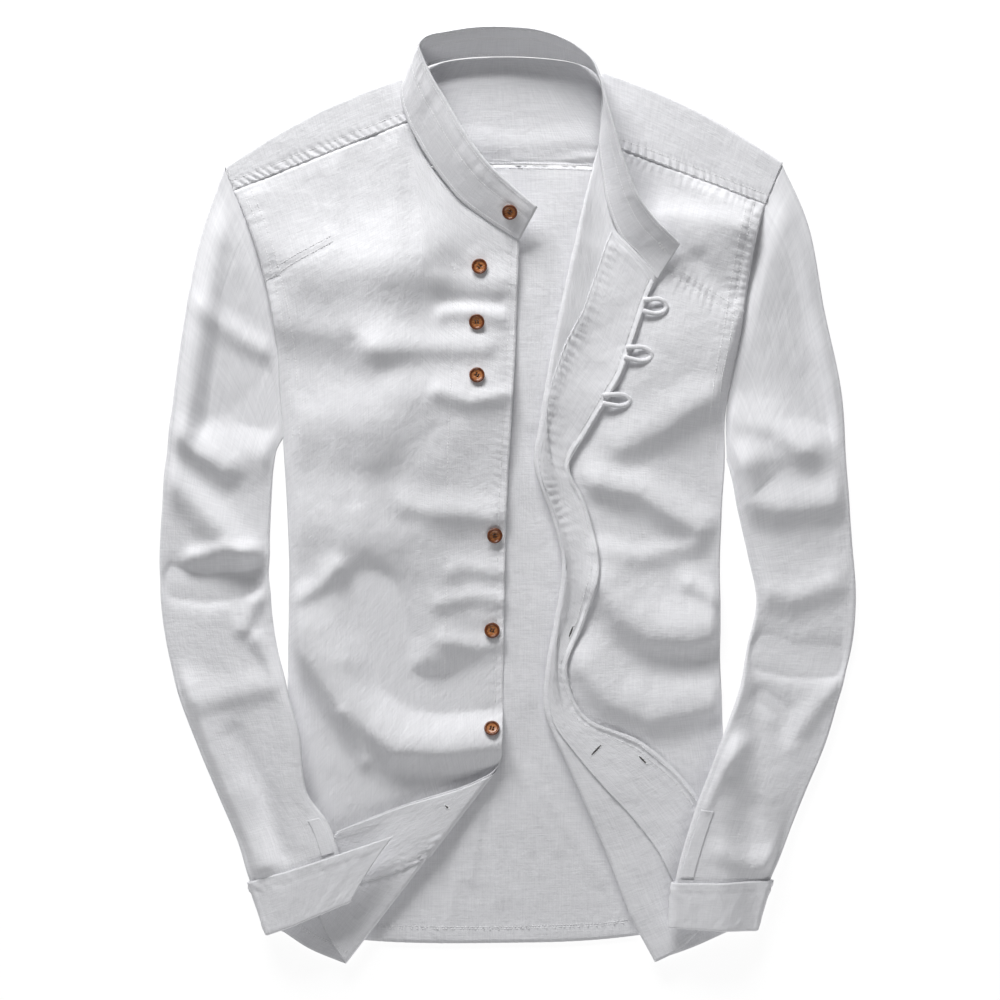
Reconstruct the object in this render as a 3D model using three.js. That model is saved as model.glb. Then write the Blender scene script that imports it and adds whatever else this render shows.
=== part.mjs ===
// A white mandarin collar shirt, laid open and flat on its back, seen from above.
// Millimetres, +Z up. The surface it lies on is z = 0, +Y points from hem to collar,
// and the wearer's right side is at -X. Each cut and sewn piece is one closed solid.

import * as THREE from 'three';

// Cloth thicknesses and the gap that is left at every seam
const cloth = 1.2;
const facingCloth = 1.0;
const bandCloth = 2.0;
const collarEase = 0.2;
const cuffCloth = 1.6;
const seamGap = 0.3;
const backSeamGap = 0.6;

// Heights of the layers above the surface, measured to the middle of the cloth
const groundHeight = cloth / 2;
const sideSeamHeight = 2.2;
const plumpRise = 1.4;
const shoulderHeight = 5.6;
const shoulderRadius = (shoulderHeight - groundHeight) / 2;
const shoulderBow = 6;
const shoulderOut = [0.36, 0.93];
const armEase = 0.992;
const seamDrop = 0.5;

// The turned-back front edges
const rollRadius = 3.0;
const rollRadiusAtNeck = 0.9;
const facingLift = cloth / 2 + seamGap + facingCloth / 2;
const facingEase = 0.15;

// Sleeves and cuffs
const sleeveGap = 4.4;
const sleeveGapAtInnerSeam = 1.7;
const sleeveBulge = 0.6;
const sleeveSetback = 0.8;
const climbOverBody = 12.2;
const bodyHalfWidth = 176;
const bodyFlarePerLength = 0.23;
const cuffRadius = 1.3;
const placketStart = 0.83;
const placketSides = [0.82, 0.95];

// Buttons and loops
const buttonDiameter = 12.5;
const buttonThickness = 3.0;
const buttonSeat = 0.4;
const loopCord = 3.6;
const loopDroop = 3;

// Colours and finishes
const white = new THREE.Color(0.93, 0.93, 0.925);
const wood = new THREE.Color(0.24, 0.09, 0.035);
const clothLook = () => new THREE.MeshStandardMaterial({ color: white, roughness: 0.9, metalness: 0 });
const buttonLook = () => new THREE.MeshStandardMaterial({ color: wood, roughness: 0.35, metalness: 0 });

// Front panel on the wearer's right. Columns: x, y. The side runs down the armhole and the side
// seam and on along the hem to the fold line of the corner that is turned up. The corner's own
// hem and front edge are given as they lie before it is turned, and meet at its tip.
const rightSide = [
  [-218, 243], [-206, 214], [-196, 183], [-188, 148], [-183, 112], [-181, 76], [-179, 44],
  [-176, -4], [-174, -52], [-174, -92], [-175, -140], [-177, -244], [-180, -348],
];
const rightHem = [[-180, -348], [-158, -362], [-132, -373]];
const rightEdge = [[10, 204], [8, 150], [6, 100], [3, 50], [0, -4], [-2, -84], [-3, -164], [-4, -207]];
const cornerEdge = [[-4, -207], [-12, -244], [-15, -300], [-22, -356], [-25, -372]];
const cornerHem = [[-132, -373], [-108, -381], [-84, -386], [-52, -381], [-25, -372]];
const rightNeck = [[-79, 298], [-66, 270], [-51, 249], [-30, 229], [-10, 216], [10, 204]];

// Front panel on the wearer's left, rolled open. Columns: side seam x, y; roll x, y;
// front edge x, y, where the edge lies after the roll.
const leftRows = [
  [206, 232, 74, 282, 120, 171], [198, 204, 62, 236, 115, 161], [192, 168, 52, 192, 110, 147],
  [186, 128, 42, 146, 103, 126], [179, 94, 33, 100, 92, 95], [174, 60, 26, 57, 68, 54],
  [174, 26, 22, 24, 50, 23], [172, -4, 36, -17, 64, -10], [170, -52, 44, -52, 74, -58],
  [170, -92, 39, -96, 62, -102], [170, -124, 32, -133, 48, -138], [171, -156, 30, -172, 62, -176],
  [172, -180, 45, -208, 106, -196], [174, -212, 62, -246, 137, -222], [175, -252, 81, -290, 154, -244],
  [177, -300, 98, -334, 166, -280], [178, -348, 118, -372, 169, -328],
];
const leftNeck = [[74, 282], [76, 258], [81, 229], [87, 210], [98, 198], [111, 184], [120, 171]];
const leftHem = [[178, -348], [146, -362], [118, -372]];
const leftFlapHem = [[118, -372], [130, -366], [147, -354], [169, -328]];

// Inner edge of the left facing: share of the flap's width, from roll to front edge, that it
// leaves bare. Columns: row share, bare share.
const leftFacingBare = [
  [0, 0.55], [0.07, 0.5], [0.136, 0.42], [0.205, 0.28], [0.274, 0.19], [0.32, 0.08], [0.36, 0.04],
  [0.6, 0.04], [0.7, 0.04], [0.76, 0.2], [0.82, 0.34], [0.88, 0.44], [0.94, 0.5], [1, 0.52],
];
const cornerFacingReach = 86;

// Back yoke and back panel. Columns: neck x, y; outer seam x, y, round the back from the
// right shoulder fold to the left one.
const yokeBackRows = [
  [-80, 327, -218, 249], [-72, 337, -211, 229], [-54, 345, -142, 251], [-30, 349, -70, 262],
  [-3, 350, 0, 264], [26, 349, 74, 262], [50, 346, 146, 249], [66, 341, 201, 227], [75, 333, 211, 249],
];
const yokeShoulders = {
  right: { neckSeam: [-79, 298], armSeam: [-218, 243], neckFold: [-85, 333], armFold: [-225, 262] },
  left: { neckSeam: [74, 282], armSeam: [206, 232], neckFold: [80, 338], armFold: [220, 265] },
};
const backHem = [[-180, -349], [-96, -357], [-5, -358], [77, -355], [176, -341]];
const backSides = {
  right: [[-211, 229], [-205, 214], [-196, 183], [-188, 148], [-183, 112], [-181, 76], [-178, 44],
    [-175, -4], [-173, -52], [-173, -92], [-174, -140], [-176, -244], [-180, -349]],
  left: [[201, 227], [196, 204], [191, 168], [185, 128], [178, 94], [173, 60], [173, 26],
    [171, -4], [169, -52], [169, -124], [170, -156], [173, -212], [176, -341]],
};

// Stand-up collar. Columns: seam x, y, and how far the cloth under the seam lies above the height
// that the front has there; top edge x, y, and its rise over the seam. From the buttoned end,
// round the back, to the end with the buttonhole.
const collarRows = [
  [10, 203, 0, 24, 228, 12], [-14, 218, 0, 4, 244, 15], [-37, 235, 0, -15, 261, 18],
  [-55, 257, 0, -34, 286, 19], [-70, 280, 0, -49, 312, 19], [-79, 298, 0, -60, 330, 20],
  [-84, 316, 0, -67, 346, 20], [-83, 328, 0, -69, 356, 20], [-73, 338, -2.7, -64, 362, 22],
  [-54, 346, -5, -47, 366, 24], [-30, 350, -5, -24, 369, 26], [0, 351, -5, 0, 369, 27],
  [26, 350, -5, 26, 366, 28], [50, 347, -5, 47, 358, 30], [64, 342, -3.5, 60, 349, 31],
  [73, 334, -1, 68, 340, 32], [77, 320, 0, 74, 324, 33], [76, 300, 0.6, 79, 306, 32],
  [74, 282, 1.8, 85, 286, 29], [76, 258, 1.8, 93, 260, 26], [81, 229, 1.8, 103, 236, 23],
  [91, 205, 1.8, 115, 220, 19], [106, 189, 1.8, 127, 208, 15], [120, 171, 1.8, 137, 199, 8],
];

// Sleeves, from the armhole to the bottom of the cuff. Columns: outer x, y; inner x, y.
const sleeveRows = {
  right: [
    [-226, 262, -179, 44], [-246, 204, -184, 34], [-259, 140, -186, 20], [-268, 68, -187, 4],
    [-274, 12, -188, -16], [-278, -40, -189, -44], [-278, -76, -189, -68], [-273, -116, -184, -116],
    [-262, -160, -174, -156], [-246, -202, -164, -192], [-228, -244, -159, -236],
    [-214, -278, -142, -260], [-205, -308, -133, -284], [-188, -354, -121, -325],
  ],
  left: [
    [220, 265, 176, 26], [242, 216, 178, 18], [255, 150, 180, 8], [268, 84, 182, -6],
    [272, 20, 186, -24], [276, -36, 192, -49], [279, -84, 199, -84], [275, -128, 190, -124],
    [266, -160, 186, -150], [255, -198, 174, -184], [240, -234, 160, -222],
    [226, -268, 147, -256], [210, -307, 133, -307], [196, -351, 130, -346],
  ],
};
const armholes = {
  right: [[-226, 262], [-218, 243], [-206, 214], [-196, 183],
    [-188, 148], [-183, 112], [-181, 76], [-179, 44]],
  left: [[220, 265], [206, 232], [198, 204], [192, 168],
    [186, 128], [179, 94], [175, 60], [176, 26]],
};

// Large folds, as soft ridges. Columns: from x, y, to x, y, half width, rise.
const bodyFolds = [
  [-190, 184, -92, 182, 26, 5.0],
  [-126, 138, -118, 6, 22, 6.0],
  [-88, 78, -16, 80, 12, 3.0],
  [-122, -6, -56, -72, 22, 5.0],
  [-82, -14, -14, -30, 13, 4.0],
  [-74, -78, -72, -152, 18, 4.0],
  [-158, -106, -90, -200, 17, 6.5],
  [-90, -200, -12, -188, 17, 6.5],
  [134, 186, 190, 206, 18, 4.5],
  [86, 54, 138, 76, 18, 3.5],
  [76, 14, 152, -32, 13, 5.0],
  [74, -86, 160, -108, 15, 5.0],
  [70, -156, 164, -154, 13, 4.0],
];
const sleeveFolds = [
  [-268, 10, -210, -46, 12, 4.0],
  [-272, -72, -200, -80, 10, 3.5],
  [-256, -160, -220, -236, 12, 3.0],
  [-176, -176, -150, -250, 12, 3.0],
  [206, 58, 262, 20, 14, 4.0],
  [204, -60, 270, -56, 10, 3.5],
  [196, -130, 262, -150, 10, 3.5],
  [172, -230, 176, -290, 16, 3.5],
];

// Buttons on the right front. Columns: x, y. The last one is under the turned-up corner.
const frontButtons = [[-22, 182], [-24, 138], [-24, 95], [-10, -32], [-12, -108], [-12, -186]];
const collarButton = { along: 0.028, up: 0.5 };
const hiddenButton = [-48, -252];

// Loops on the left front edge. Columns: root x, y; tip x, y; spread. Each follows the outline,
// whose columns are reach as a share of its length and sidewise place as a share of its spread.
const loops = [[108, 150.5, 128.5, 149.5, 5.6], [94, 113.5, 116.5, 110.5, 5.2], [76, 76, 99.5, 75, 4.2]];
const loopOutline = [
  [0, 0.75], [0.3, 0.95], [0.62, 1.05], [0.88, 0.7], [1, 0],
  [0.88, -0.7], [0.62, -1.05], [0.3, -0.95], [0, -0.75],
];

// Small maths
const point = (x, y, z = 0) => new THREE.Vector3(x, y, z);
const mix = THREE.MathUtils.lerp;
const smooth = (low, high, value) => THREE.MathUtils.smoothstep(value, low, high);
const column = (rows, first) => rows.map((row) => [row[first], row[first + 1]]);
const curve = (rows) => new THREE.CatmullRomCurve3(rows.map(([x, y, z]) => point(x, y, z ?? 0)));
const byLength = (rows) => {
  const path = curve(rows);
  return (t) => path.getPointAt(THREE.MathUtils.clamp(t, 0, 1));
};
const byRow = (rows) => {
  const path = curve(rows);
  return (t) => path.getPoint(THREE.MathUtils.clamp(t, 0, 1));
};
const line = (from, to) => (t) => point(...from).lerp(point(...to), t);
const joined = (first, second, share) => (t) => (
  t < share ? first(t / share) : second((t - share) / (1 - share)));

function lookUp(rows, at) {
  const next = rows.findIndex((row) => row[0] >= at);
  if (next <= 0) return rows[0][1];
  const [[x0, y0], [x1, y1]] = [rows[next - 1], rows[next]];
  return mix(y0, y1, (at - x0) / (x1 - x0));
}

// A patch between four edges that meet at their ends
function patch(top, bottom, left, right) {
  return (u, v) => {
    const sides = left(v).multiplyScalar(1 - u).add(right(v).multiplyScalar(u));
    const ends = top(u).multiplyScalar(1 - v).add(bottom(u).multiplyScalar(v));
    const upper = top(0).multiplyScalar(1 - u).add(top(1).multiplyScalar(u)).multiplyScalar(1 - v);
    const lower = bottom(0).multiplyScalar(1 - u).add(bottom(1).multiplyScalar(u)).multiplyScalar(v);
    return sides.add(ends).sub(upper).sub(lower);
  };
}

// A seam point moved down by the gap that a panel leaves below its seam
const below = ([x, y]) => [x, y - seamDrop];

// Distance in plan from a point to a fold's line
function distanceToFold(x, y, [x0, y0, x1, y1]) {
  const dx = x1 - x0;
  const dy = y1 - y0;
  const t = THREE.MathUtils.clamp(((x - x0) * dx + (y - y0) * dy) / (dx * dx + dy * dy), 0, 1);
  return Math.hypot(x - x0 - dx * t, y - y0 - dy * t);
}

const foldRise = (folds, x, y) =>
  folds.reduce((sum, fold) => sum + fold[5] * Math.exp(-((distanceToFold(x, y, fold) / fold[4]) ** 2)), 0);

// Height of the front panels' cloth over the surface
function frontHeight(x, y) {
  const side = bodyHalfWidth + bodyFlarePerLength * Math.max(0, y - 60);
  const inset = side - Math.abs(x);
  const flat = sideSeamHeight + plumpRise * smooth(0, 60, inset);
  const base = mix(flat, shoulderHeight, smooth(40, 240, y));
  const yokeSeam = 300 - 0.4 * Math.max(0, Math.abs(x) - 80);
  const fade = smooth(2, 30, inset) * smooth(4, 30, yokeSeam - y);
  return base + fade * foldRise(bodyFolds, x, y);
}

// Turns a closed or open grid of mid-surface points into a wall of even thickness
function wall(grid, thickness, closed = false) {
  const rows = grid.length;
  const cols = grid[0].length;
  const at = (i, j) => grid[closed ? (i + rows) % rows : THREE.MathUtils.clamp(i, 0, rows - 1)][
    THREE.MathUtils.clamp(j, 0, cols - 1)];
  const positions = [];
  for (const side of [0.5, -0.5]) {
    for (let i = 0; i < rows; i += 1) {
      for (let j = 0; j < cols; j += 1) {
        const across = at(i + 1, j).clone().sub(at(i - 1, j));
        const down = at(i, j + 1).clone().sub(at(i, j - 1));
        const normal = across.cross(down).normalize();
        positions.push(...at(i, j).clone().addScaledVector(normal, side * thickness).toArray());
      }
    }
  }
  const index = [];
  const id = (i, j, under) => (under ? rows * cols : 0) + (i % rows) * cols + j;
  const quad = (a, b, c, d) => index.push(a, b, c, a, c, d);
  const spans = closed ? rows : rows - 1;
  for (let i = 0; i < spans; i += 1) {
    for (let j = 0; j < cols - 1; j += 1) {
      quad(id(i, j), id(i + 1, j), id(i + 1, j + 1), id(i, j + 1));
      quad(id(i, j, 1), id(i, j + 1, 1), id(i + 1, j + 1, 1), id(i + 1, j, 1));
    }
    quad(id(i + 1, 0), id(i, 0), id(i, 0, 1), id(i + 1, 0, 1));
    quad(id(i, cols - 1), id(i + 1, cols - 1), id(i + 1, cols - 1, 1), id(i, cols - 1, 1));
  }
  if (!closed) {
    for (let j = 0; j < cols - 1; j += 1) {
      quad(id(0, j), id(0, j + 1), id(0, j + 1, 1), id(0, j, 1));
      quad(id(rows - 1, j + 1), id(rows - 1, j), id(rows - 1, j, 1), id(rows - 1, j + 1, 1));
    }
  }
  const geometry = new THREE.BufferGeometry();
  geometry.setAttribute('position', new THREE.Float32BufferAttribute(positions, 3));
  geometry.setIndex(index);
  return facingOut(geometry);
}

// Reverses the triangles of a solid whose faces point in
function facingOut(geometry) {
  const index = geometry.getIndex();
  const position = geometry.getAttribute('position');
  const corner = (k) => new THREE.Vector3().fromBufferAttribute(position, index.getX(k));
  let volume = 0;
  for (let k = 0; k < index.count; k += 3) volume += corner(k).dot(corner(k + 1).cross(corner(k + 2)));
  if (volume < 0) {
    for (let k = 0; k < index.count; k += 3) {
      const second = index.getX(k + 1);
      index.setX(k + 1, index.getX(k + 2));
      index.setX(k + 2, second);
    }
  }
  geometry.computeVertexNormals();
  return geometry;
}

const shares = (count) => Array.from({ length: count + 1 }, (_, k) => k / count);
const sample = (surface, us, vs) => us.map((u) => vs.map((v) => surface(u, v)));

function piece(name, geometry, material = clothLook()) {
  const mesh = new THREE.Mesh(geometry, material);
  mesh.name = name;
  return mesh;
}

// Back panel, flat on the surface
function backPanel() {
  const yokeEdge = byRow(column(yokeBackRows, 2));
  const seam = (u) => yokeEdge(mix(1, 7, u) / 8).add(point(0, -backSeamGap));
  const corners = [seam(0).toArray(), seam(1).toArray()];
  const right = [corners[0], ...backSides.right.slice(1)];
  const left = [corners[1], ...backSides.left.slice(1)];
  const hem = [right[right.length - 1], ...backHem.slice(1, -1), left[left.length - 1]];
  const outline = patch(seam, byLength(hem), byLength(right), byLength(left));
  const surface = (u, v) => outline(u, v).setZ(groundHeight);
  return piece('back_panel', wall(sample(surface, shares(12), shares(20)), cloth));
}

// Yoke: one piece over both shoulders, from the right front seam round the back to the left one
function yoke() {
  const fold = [10, 50, 90, 130, 170].map(THREE.MathUtils.degToRad);
  const shoulder = ({ neckSeam, armSeam, neckFold, armFold }, away) => {
    const out = point(away * shoulderOut[0], shoulderOut[1]);
    const row = (neck, arm, shift, bow, height) => shares(7).map((t) => {
      const moved = shift + shoulderBow * bow * Math.sin(Math.PI * t);
      return point(...neck).lerp(point(...arm), t * armEase).addScaledVector(out, moved).setZ(height);
    });
    const turned = fold.map((angle) => row(neckFold, armFold, shoulderRadius * (Math.sin(angle) - 1), 1,
      groundHeight + shoulderRadius * (1 + Math.cos(angle))));
    const seamRow = row(neckSeam, armSeam, seamGap, 0, shoulderHeight);
    const middleRow = row(neckSeam, armSeam, 12, 0.4, shoulderHeight);
    return [seamRow, middleRow, ...turned];
  };
  const neck = byRow(column(yokeBackRows, 0));
  const outer = byRow(column(yokeBackRows, 2));
  const back = shares(16).map((s) => shares(7).map((t) => neck(s).lerp(outer(s), t).setZ(groundHeight)));
  const grid = [...shoulder(yokeShoulders.right, -1), ...back, ...shoulder(yokeShoulders.left, 1).reverse()];
  return piece('yoke', wall(grid, cloth));
}

// Right front as far as the fold line: u from the side to the front edge, v down
const rightNeckShare = 0.55;
const rightSideShare = 0.86;
function rightUpper() {
  const side = [below(rightSide[0]), ...rightSide.slice(1)];
  const seam = line(below(rightSide[0]), below(rightNeck[0]));
  const neck = [below(rightNeck[0]), ...rightNeck.slice(1)];
  const top = joined(seam, byLength(neck), rightNeckShare);
  const outside = joined(byLength(side), byLength(rightHem), rightSideShare);
  const foldLine = line(rightHem[rightHem.length - 1], rightEdge[rightEdge.length - 1]);
  return patch(top, foldLine, outside, byLength(rightEdge));
}

// The corner beyond the fold line, turned up over a roll. A row lies a distance beyond the line,
// measured over the cloth, u runs along it from the hem to the front edge, and a lift puts a
// layer outside the roll.
function turnedCorner() {
  const start = point(...rightHem[rightHem.length - 1]);
  const finish = point(...rightEdge[rightEdge.length - 1]);
  const along = finish.clone().sub(start).normalize();
  const out = point(along.y, -along.x);
  const beyond = (place) => place.clone().sub(start).dot(out);
  const atDistance = (path, distance) => {
    let [low, high] = [0, 1];
    for (let step = 0; step < 24; step += 1) {
      const middle = (low + high) / 2;
      if (beyond(path(middle)) < distance) low = middle;
      else high = middle;
    }
    return path(low);
  };
  const hem = byLength(cornerHem);
  const edge = byLength(cornerEdge);
  const tip = beyond(point(...cornerEdge[cornerEdge.length - 1]));
  const ends = (distance) => [atDistance(hem, distance), atDistance(edge, distance)];
  const place = (distance, u, lift = 0) => {
    const [from, to] = ends(distance);
    const flat = from.lerp(to, u);
    const radius = rollRadius + lift;
    const angle = Math.min(distance / rollRadius, Math.PI);
    const past = Math.max(0, distance - Math.PI * rollRadius);
    const turned = flat.addScaledVector(out, radius * Math.sin(angle) - past - distance);
    return turned.setZ(frontHeight(turned.x, turned.y) + rollRadius - radius * Math.cos(angle));
  };
  const rowLength = (distance) => ends(distance)[0].distanceTo(ends(distance)[1]);
  return { place, rowLength, tip };
}

const corner = turnedCorner();
const rollRows = [30, 60, 90, 120, 150, 180].map((angle) => rollRadius * THREE.MathUtils.degToRad(angle));

function frontRight() {
  const upper = rightUpper();
  const flat = (u, v) => {
    const place = upper(u, v);
    return place.setZ(frontHeight(place.x, place.y));
  };
  const rest = shares(6).slice(1).map((k) => mix(Math.PI * rollRadius, corner.tip - 3, k));
  const columns = shares(18);
  const grid = columns.map((u) => [
    ...shares(21).map((v) => flat(u, v)),
    ...[...rollRows, ...rest].map((distance) => corner.place(distance, u)),
  ]);
  return piece('front_right', wall(grid, cloth));
}

// Facing of the right front, where the turned-up corner shows it
function facingRight() {
  const rest = shares(6).slice(1).map((k) => mix(Math.PI * rollRadius, corner.tip - 8, k));
  const grid = shares(6).map((u) => [...rollRows.slice(1), ...rest].map((distance) => {
    const bare = Math.max(0.04, 1 - cornerFacingReach / corner.rowLength(distance));
    return corner.place(distance, mix(bare, 0.985, u), facingLift + facingEase);
  }));
  return piece('facing_right', wall(grid, facingCloth));
}

// Left front: u runs from the side seam to the roll and back over the flap to the front edge
function leftFront() {
  const rolls = byLength(column(leftRows, 2));
  const radius = (v) => mix(rollRadiusAtNeck, rollRadius, smooth(0, 0.16, v));
  const inward = (v) => {
    const along = rolls(Math.min(v + 0.01, 1)).sub(rolls(Math.max(v - 0.01, 0)));
    return point(-along.y, along.x).normalize();
  };
  const rollInset = (v) => rolls(v).addScaledVector(inward(v), radius(v));
  const sideRows = column(leftRows, 0);
  const edgeRows = column(leftRows, 4);
  const start = rollInset(0);
  const finish = rollInset(1);
  const startXY = below([start.x, start.y]);
  const finishXY = [finish.x, finish.y];
  const side = byLength([below(sideRows[0]), ...sideRows.slice(1)]);
  const roll = (v) => rollInset(v).add(point(0, -seamDrop * (1 - v)));
  const hem = byLength([...leftHem.slice(0, -1), finishXY]);
  const neck = byLength([startXY, ...leftNeck.slice(1)]);
  const flapHem = byLength([finishXY, ...leftFlapHem.slice(1)]);
  const under = patch(line(below(sideRows[0]), startXY), hem, side, roll);
  const flap = patch(neck, flapHem, roll, byLength(edgeRows));
  return {
    under: (u, v) => {
      const place = under(u, v);
      return place.setZ(frontHeight(place.x, place.y));
    },
    turn: (angle, v) => {
      const place = roll(v).addScaledVector(inward(v), -radius(v) * Math.sin(angle));
      return place.setZ(frontHeight(place.x, place.y) + radius(v) * (1 - Math.cos(angle)));
    },
    flap: (u, v, lift = 0) => {
      const place = flap(u, v);
      return place.setZ(frontHeight(place.x, place.y) + 2 * radius(v) + lift);
    },
  };
}

const leftShape = leftFront();

function frontLeft() {
  const turns = [40, 90, 140].map(THREE.MathUtils.degToRad);
  const grid = [
    ...shares(11).map((u) => shares(26).map((v) => leftShape.under(u, v))),
    ...turns.map((angle) => shares(26).map((v) => leftShape.turn(angle, v))),
    ...shares(5).map((u) => shares(26).map((v) => leftShape.flap(u, v))),
  ];
  return piece('front_left', wall(grid, cloth));
}

function facingLeft() {
  const surface = (u, v) => {
    const row = THREE.MathUtils.clamp(v, 0.008, 0.985);
    return leftShape.flap(mix(lookUp(leftFacingBare, row), 0.985, u), row, facingLift + facingEase);
  };
  return piece('facing_left', wall(sample(surface, shares(4), shares(26)), facingCloth));
}

// Collar band: u round the neck, v from the seam to the top edge, with a slight outward belly
function collarSurface() {
  const height = ([x, y, above]) => frontHeight(x, y) + above;
  const seam = byRow(collarRows.map((row) => [row[0], row[1], height(row)]));
  const top = byRow(collarRows.map((row) => [row[3], row[4], height(row) + row[5]]));
  return (u, v) => {
    const low = seam(u);
    const high = top(u);
    const lean = Math.hypot(high.x - low.x, high.y - low.y) / low.distanceTo(high);
    const lift = cloth / 2 + seamGap + collarEase + (bandCloth / 2) * lean;
    return low.lerp(high, v).add(point(0, 0, lift));
  };
}

function collarBand() {
  return piece('collar_band', wall(sample(collarSurface(), shares(34), shares(4)), bandCloth));
}

// Height of the sleeve's lower layer: on the surface outside, over the body and its flap inside
function sleeveFloor(x, y) {
  const climb = smooth(-26, 8, bodyHalfWidth - Math.abs(x)) * (1 - smooth(-170, -100, y));
  return groundHeight + climbOverBody * climb;
}

// One flattened sleeve. t runs from the armhole to the bottom of the cuff, w across it from the
// outer to the inner side, grow moves the wall out and layer is -1 below and +1 above.
function sleeveShape(side) {
  const rows = sleeveRows[side];
  const outer = byRow(column(rows, 0));
  const inner = byRow(column(rows, 2));
  const hole = byLength(armholes[side]);
  const away = Math.sign(rows[0][0]);
  const across = (t, w) => {
    const straight = (s) => outer(s).lerp(inner(s), w);
    const bow = hole(THREE.MathUtils.clamp(w, 0, 1)).sub(straight(0));
    return straight(t).addScaledVector(bow, 1 - smooth(0, 0.3, t));
  };
  const gap = (t, w) => mix(mix(2 * shoulderRadius, sleeveGapAtInnerSeam, w), sleeveGap, smooth(0, 0.16, t));
  const cuffLift = (t) => (2 * cuffRadius + (cuffCloth - cloth) / 2) * smooth(0.8, 0.93, t);
  const layer = (t, w, up, grow = 0) => {
    const place = across(t, w);
    const low = sleeveFloor(place.x, place.y) + cuffLift(t);
    const swell = sleeveBulge * smooth(0.02, 0.2, t) * Math.sin(Math.PI * THREE.MathUtils.clamp(w, 0, 1));
    const fadeAcross = smooth(0, 0.1, w) * smooth(0, 0.1, 1 - w);
    const fadeAlong = smooth(0.03, 0.12, t) * (1 - smooth(0.86, 0.92, t));
    const folds = fadeAcross * fadeAlong * foldRise(sleeveFolds, place.x, place.y);
    const high = low + gap(t, w) + swell + folds;
    const setback = away * sleeveSetback * (1 - smooth(0, 0.05, t));
    return place.setZ(up ? high + grow : low - grow).add(point(setback, 0));
  };
  const edge = (t, w, angle, grow = 0) => {
    const low = layer(t, w, false, grow);
    const high = layer(t, w, true, grow);
    const radius = (high.z - low.z) / 2;
    const out = outer(t).sub(inner(t)).setZ(0).normalize().multiplyScalar(w < 0.5 ? 1 : -1);
    const place = low.lerp(high, 0.5);
    const reach = radius * Math.cos(angle);
    return place.addScaledVector(out, reach).setZ(place.z + radius * Math.sin(angle));
  };
  const down = outer(1).add(inner(1)).sub(outer(0.95)).sub(inner(0.95)).setZ(0).normalize();
  return { layer, edge, down };
}

// Insets of the two round ends of a sleeve's section, as a share of its width
const endInset = (t) => mix(0.014, 0.036, smooth(0, 0.2, t));

function sleeveRing(shape, t, grow = 0) {
  const inset = endInset(t);
  const flats = shares(7).map((k) => mix(inset, 1 - inset, k));
  const bend = [-50, 0, 50].map(THREE.MathUtils.degToRad);
  return [
    ...flats.map((w) => shape.layer(t, w, false, grow)),
    ...bend.map((angle) => shape.edge(t, 1 - inset, angle, grow)),
    ...[...flats].reverse().map((w) => shape.layer(t, w, true, grow)),
    ...[...bend].reverse().map((angle) => shape.edge(t, inset, angle, grow)),
  ];
}

const sleeveEnd = 0.958;
const cuffSeam = 0.9605;
const cuffTop = 12 / 13;
const cuffFlare = 1.6;

// A grid of rings turned so that its first index runs round the ring
const roundFirst = (rings) => rings[0].map((_, a) => rings.map((ring) => ring[a]));

function sleeve(side) {
  const shape = sleeveShape(side);
  const rings = shares(23).map((k) => sleeveRing(shape, k * sleeveEnd));
  return piece(`sleeve_${side}`, wall(roundFirst(rings), cloth, true));
}

// Stations of a turned-back cuff: up inside from its seam, round the bottom, up the outside
function cuffStations() {
  const inside = [cuffSeam, 0.975, 0.99].map((t) => ({ t, grow: 0 }));
  const bottom = [40, 90, 140].map(THREE.MathUtils.degToRad).map((angle) => (
    { t: 0.99, grow: cuffRadius * (1 - Math.cos(angle)), drop: cuffRadius * Math.sin(angle) }));
  const outside = [0.99, 0.972, 0.95, cuffTop].map((t) => ({ t, grow: 2 * cuffRadius }));
  return [...inside, ...bottom, ...outside];
}

// Closed cuff of the left sleeve
function cuffLeft() {
  const shape = sleeveShape('left');
  const rings = cuffStations().map(({ t, grow, drop = 0 }) =>
    sleeveRing(shape, t, grow).map((place) => place.addScaledVector(shape.down, drop)));
  return piece('cuff_left', wall(roundFirst(rings), cuffCloth, true));
}

// Open cuff of the right sleeve: a strip whose upper end flares out past the sleeve
function cuffRight() {
  const shape = sleeveShape('right');
  const bend = [50, 0, -50].map(THREE.MathUtils.degToRad);
  const rings = cuffStations().map(({ t, grow, drop = 0 }) => {
    const inset = endInset(t);
    const reach = mix(0.99, cuffFlare, Math.max(0, 0.99 - t) / (0.99 - cuffTop));
    const lower = shares(6).map((k) => shape.layer(t, mix(0.94, inset, k), false, grow));
    const turn = [...bend].reverse().map((angle) => shape.edge(t, inset, angle, grow));
    const upper = shares(11).map((k) => shape.layer(t, mix(inset, reach, k), true, grow));
    return [...lower, ...turn, ...upper].map((place) => place.addScaledVector(shape.down, drop));
  });
  return piece('cuff_right', wall(roundFirst(rings), cuffCloth));
}

// Placket strip on the back of each sleeve, above its cuff
function sleevePlacket(side) {
  const shape = sleeveShape(side);
  const lift = point(0, 0, cloth / 2 + seamGap + facingCloth / 2);
  const surface = (u, v) => {
    const t = mix(placketStart, cuffTop - 0.006, v);
    return shape.layer(t, mix(...placketSides, u), true).add(lift);
  };
  return piece(`placket_${side}`, wall(sample(surface, shares(3), shares(6)), facingCloth));
}

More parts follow.
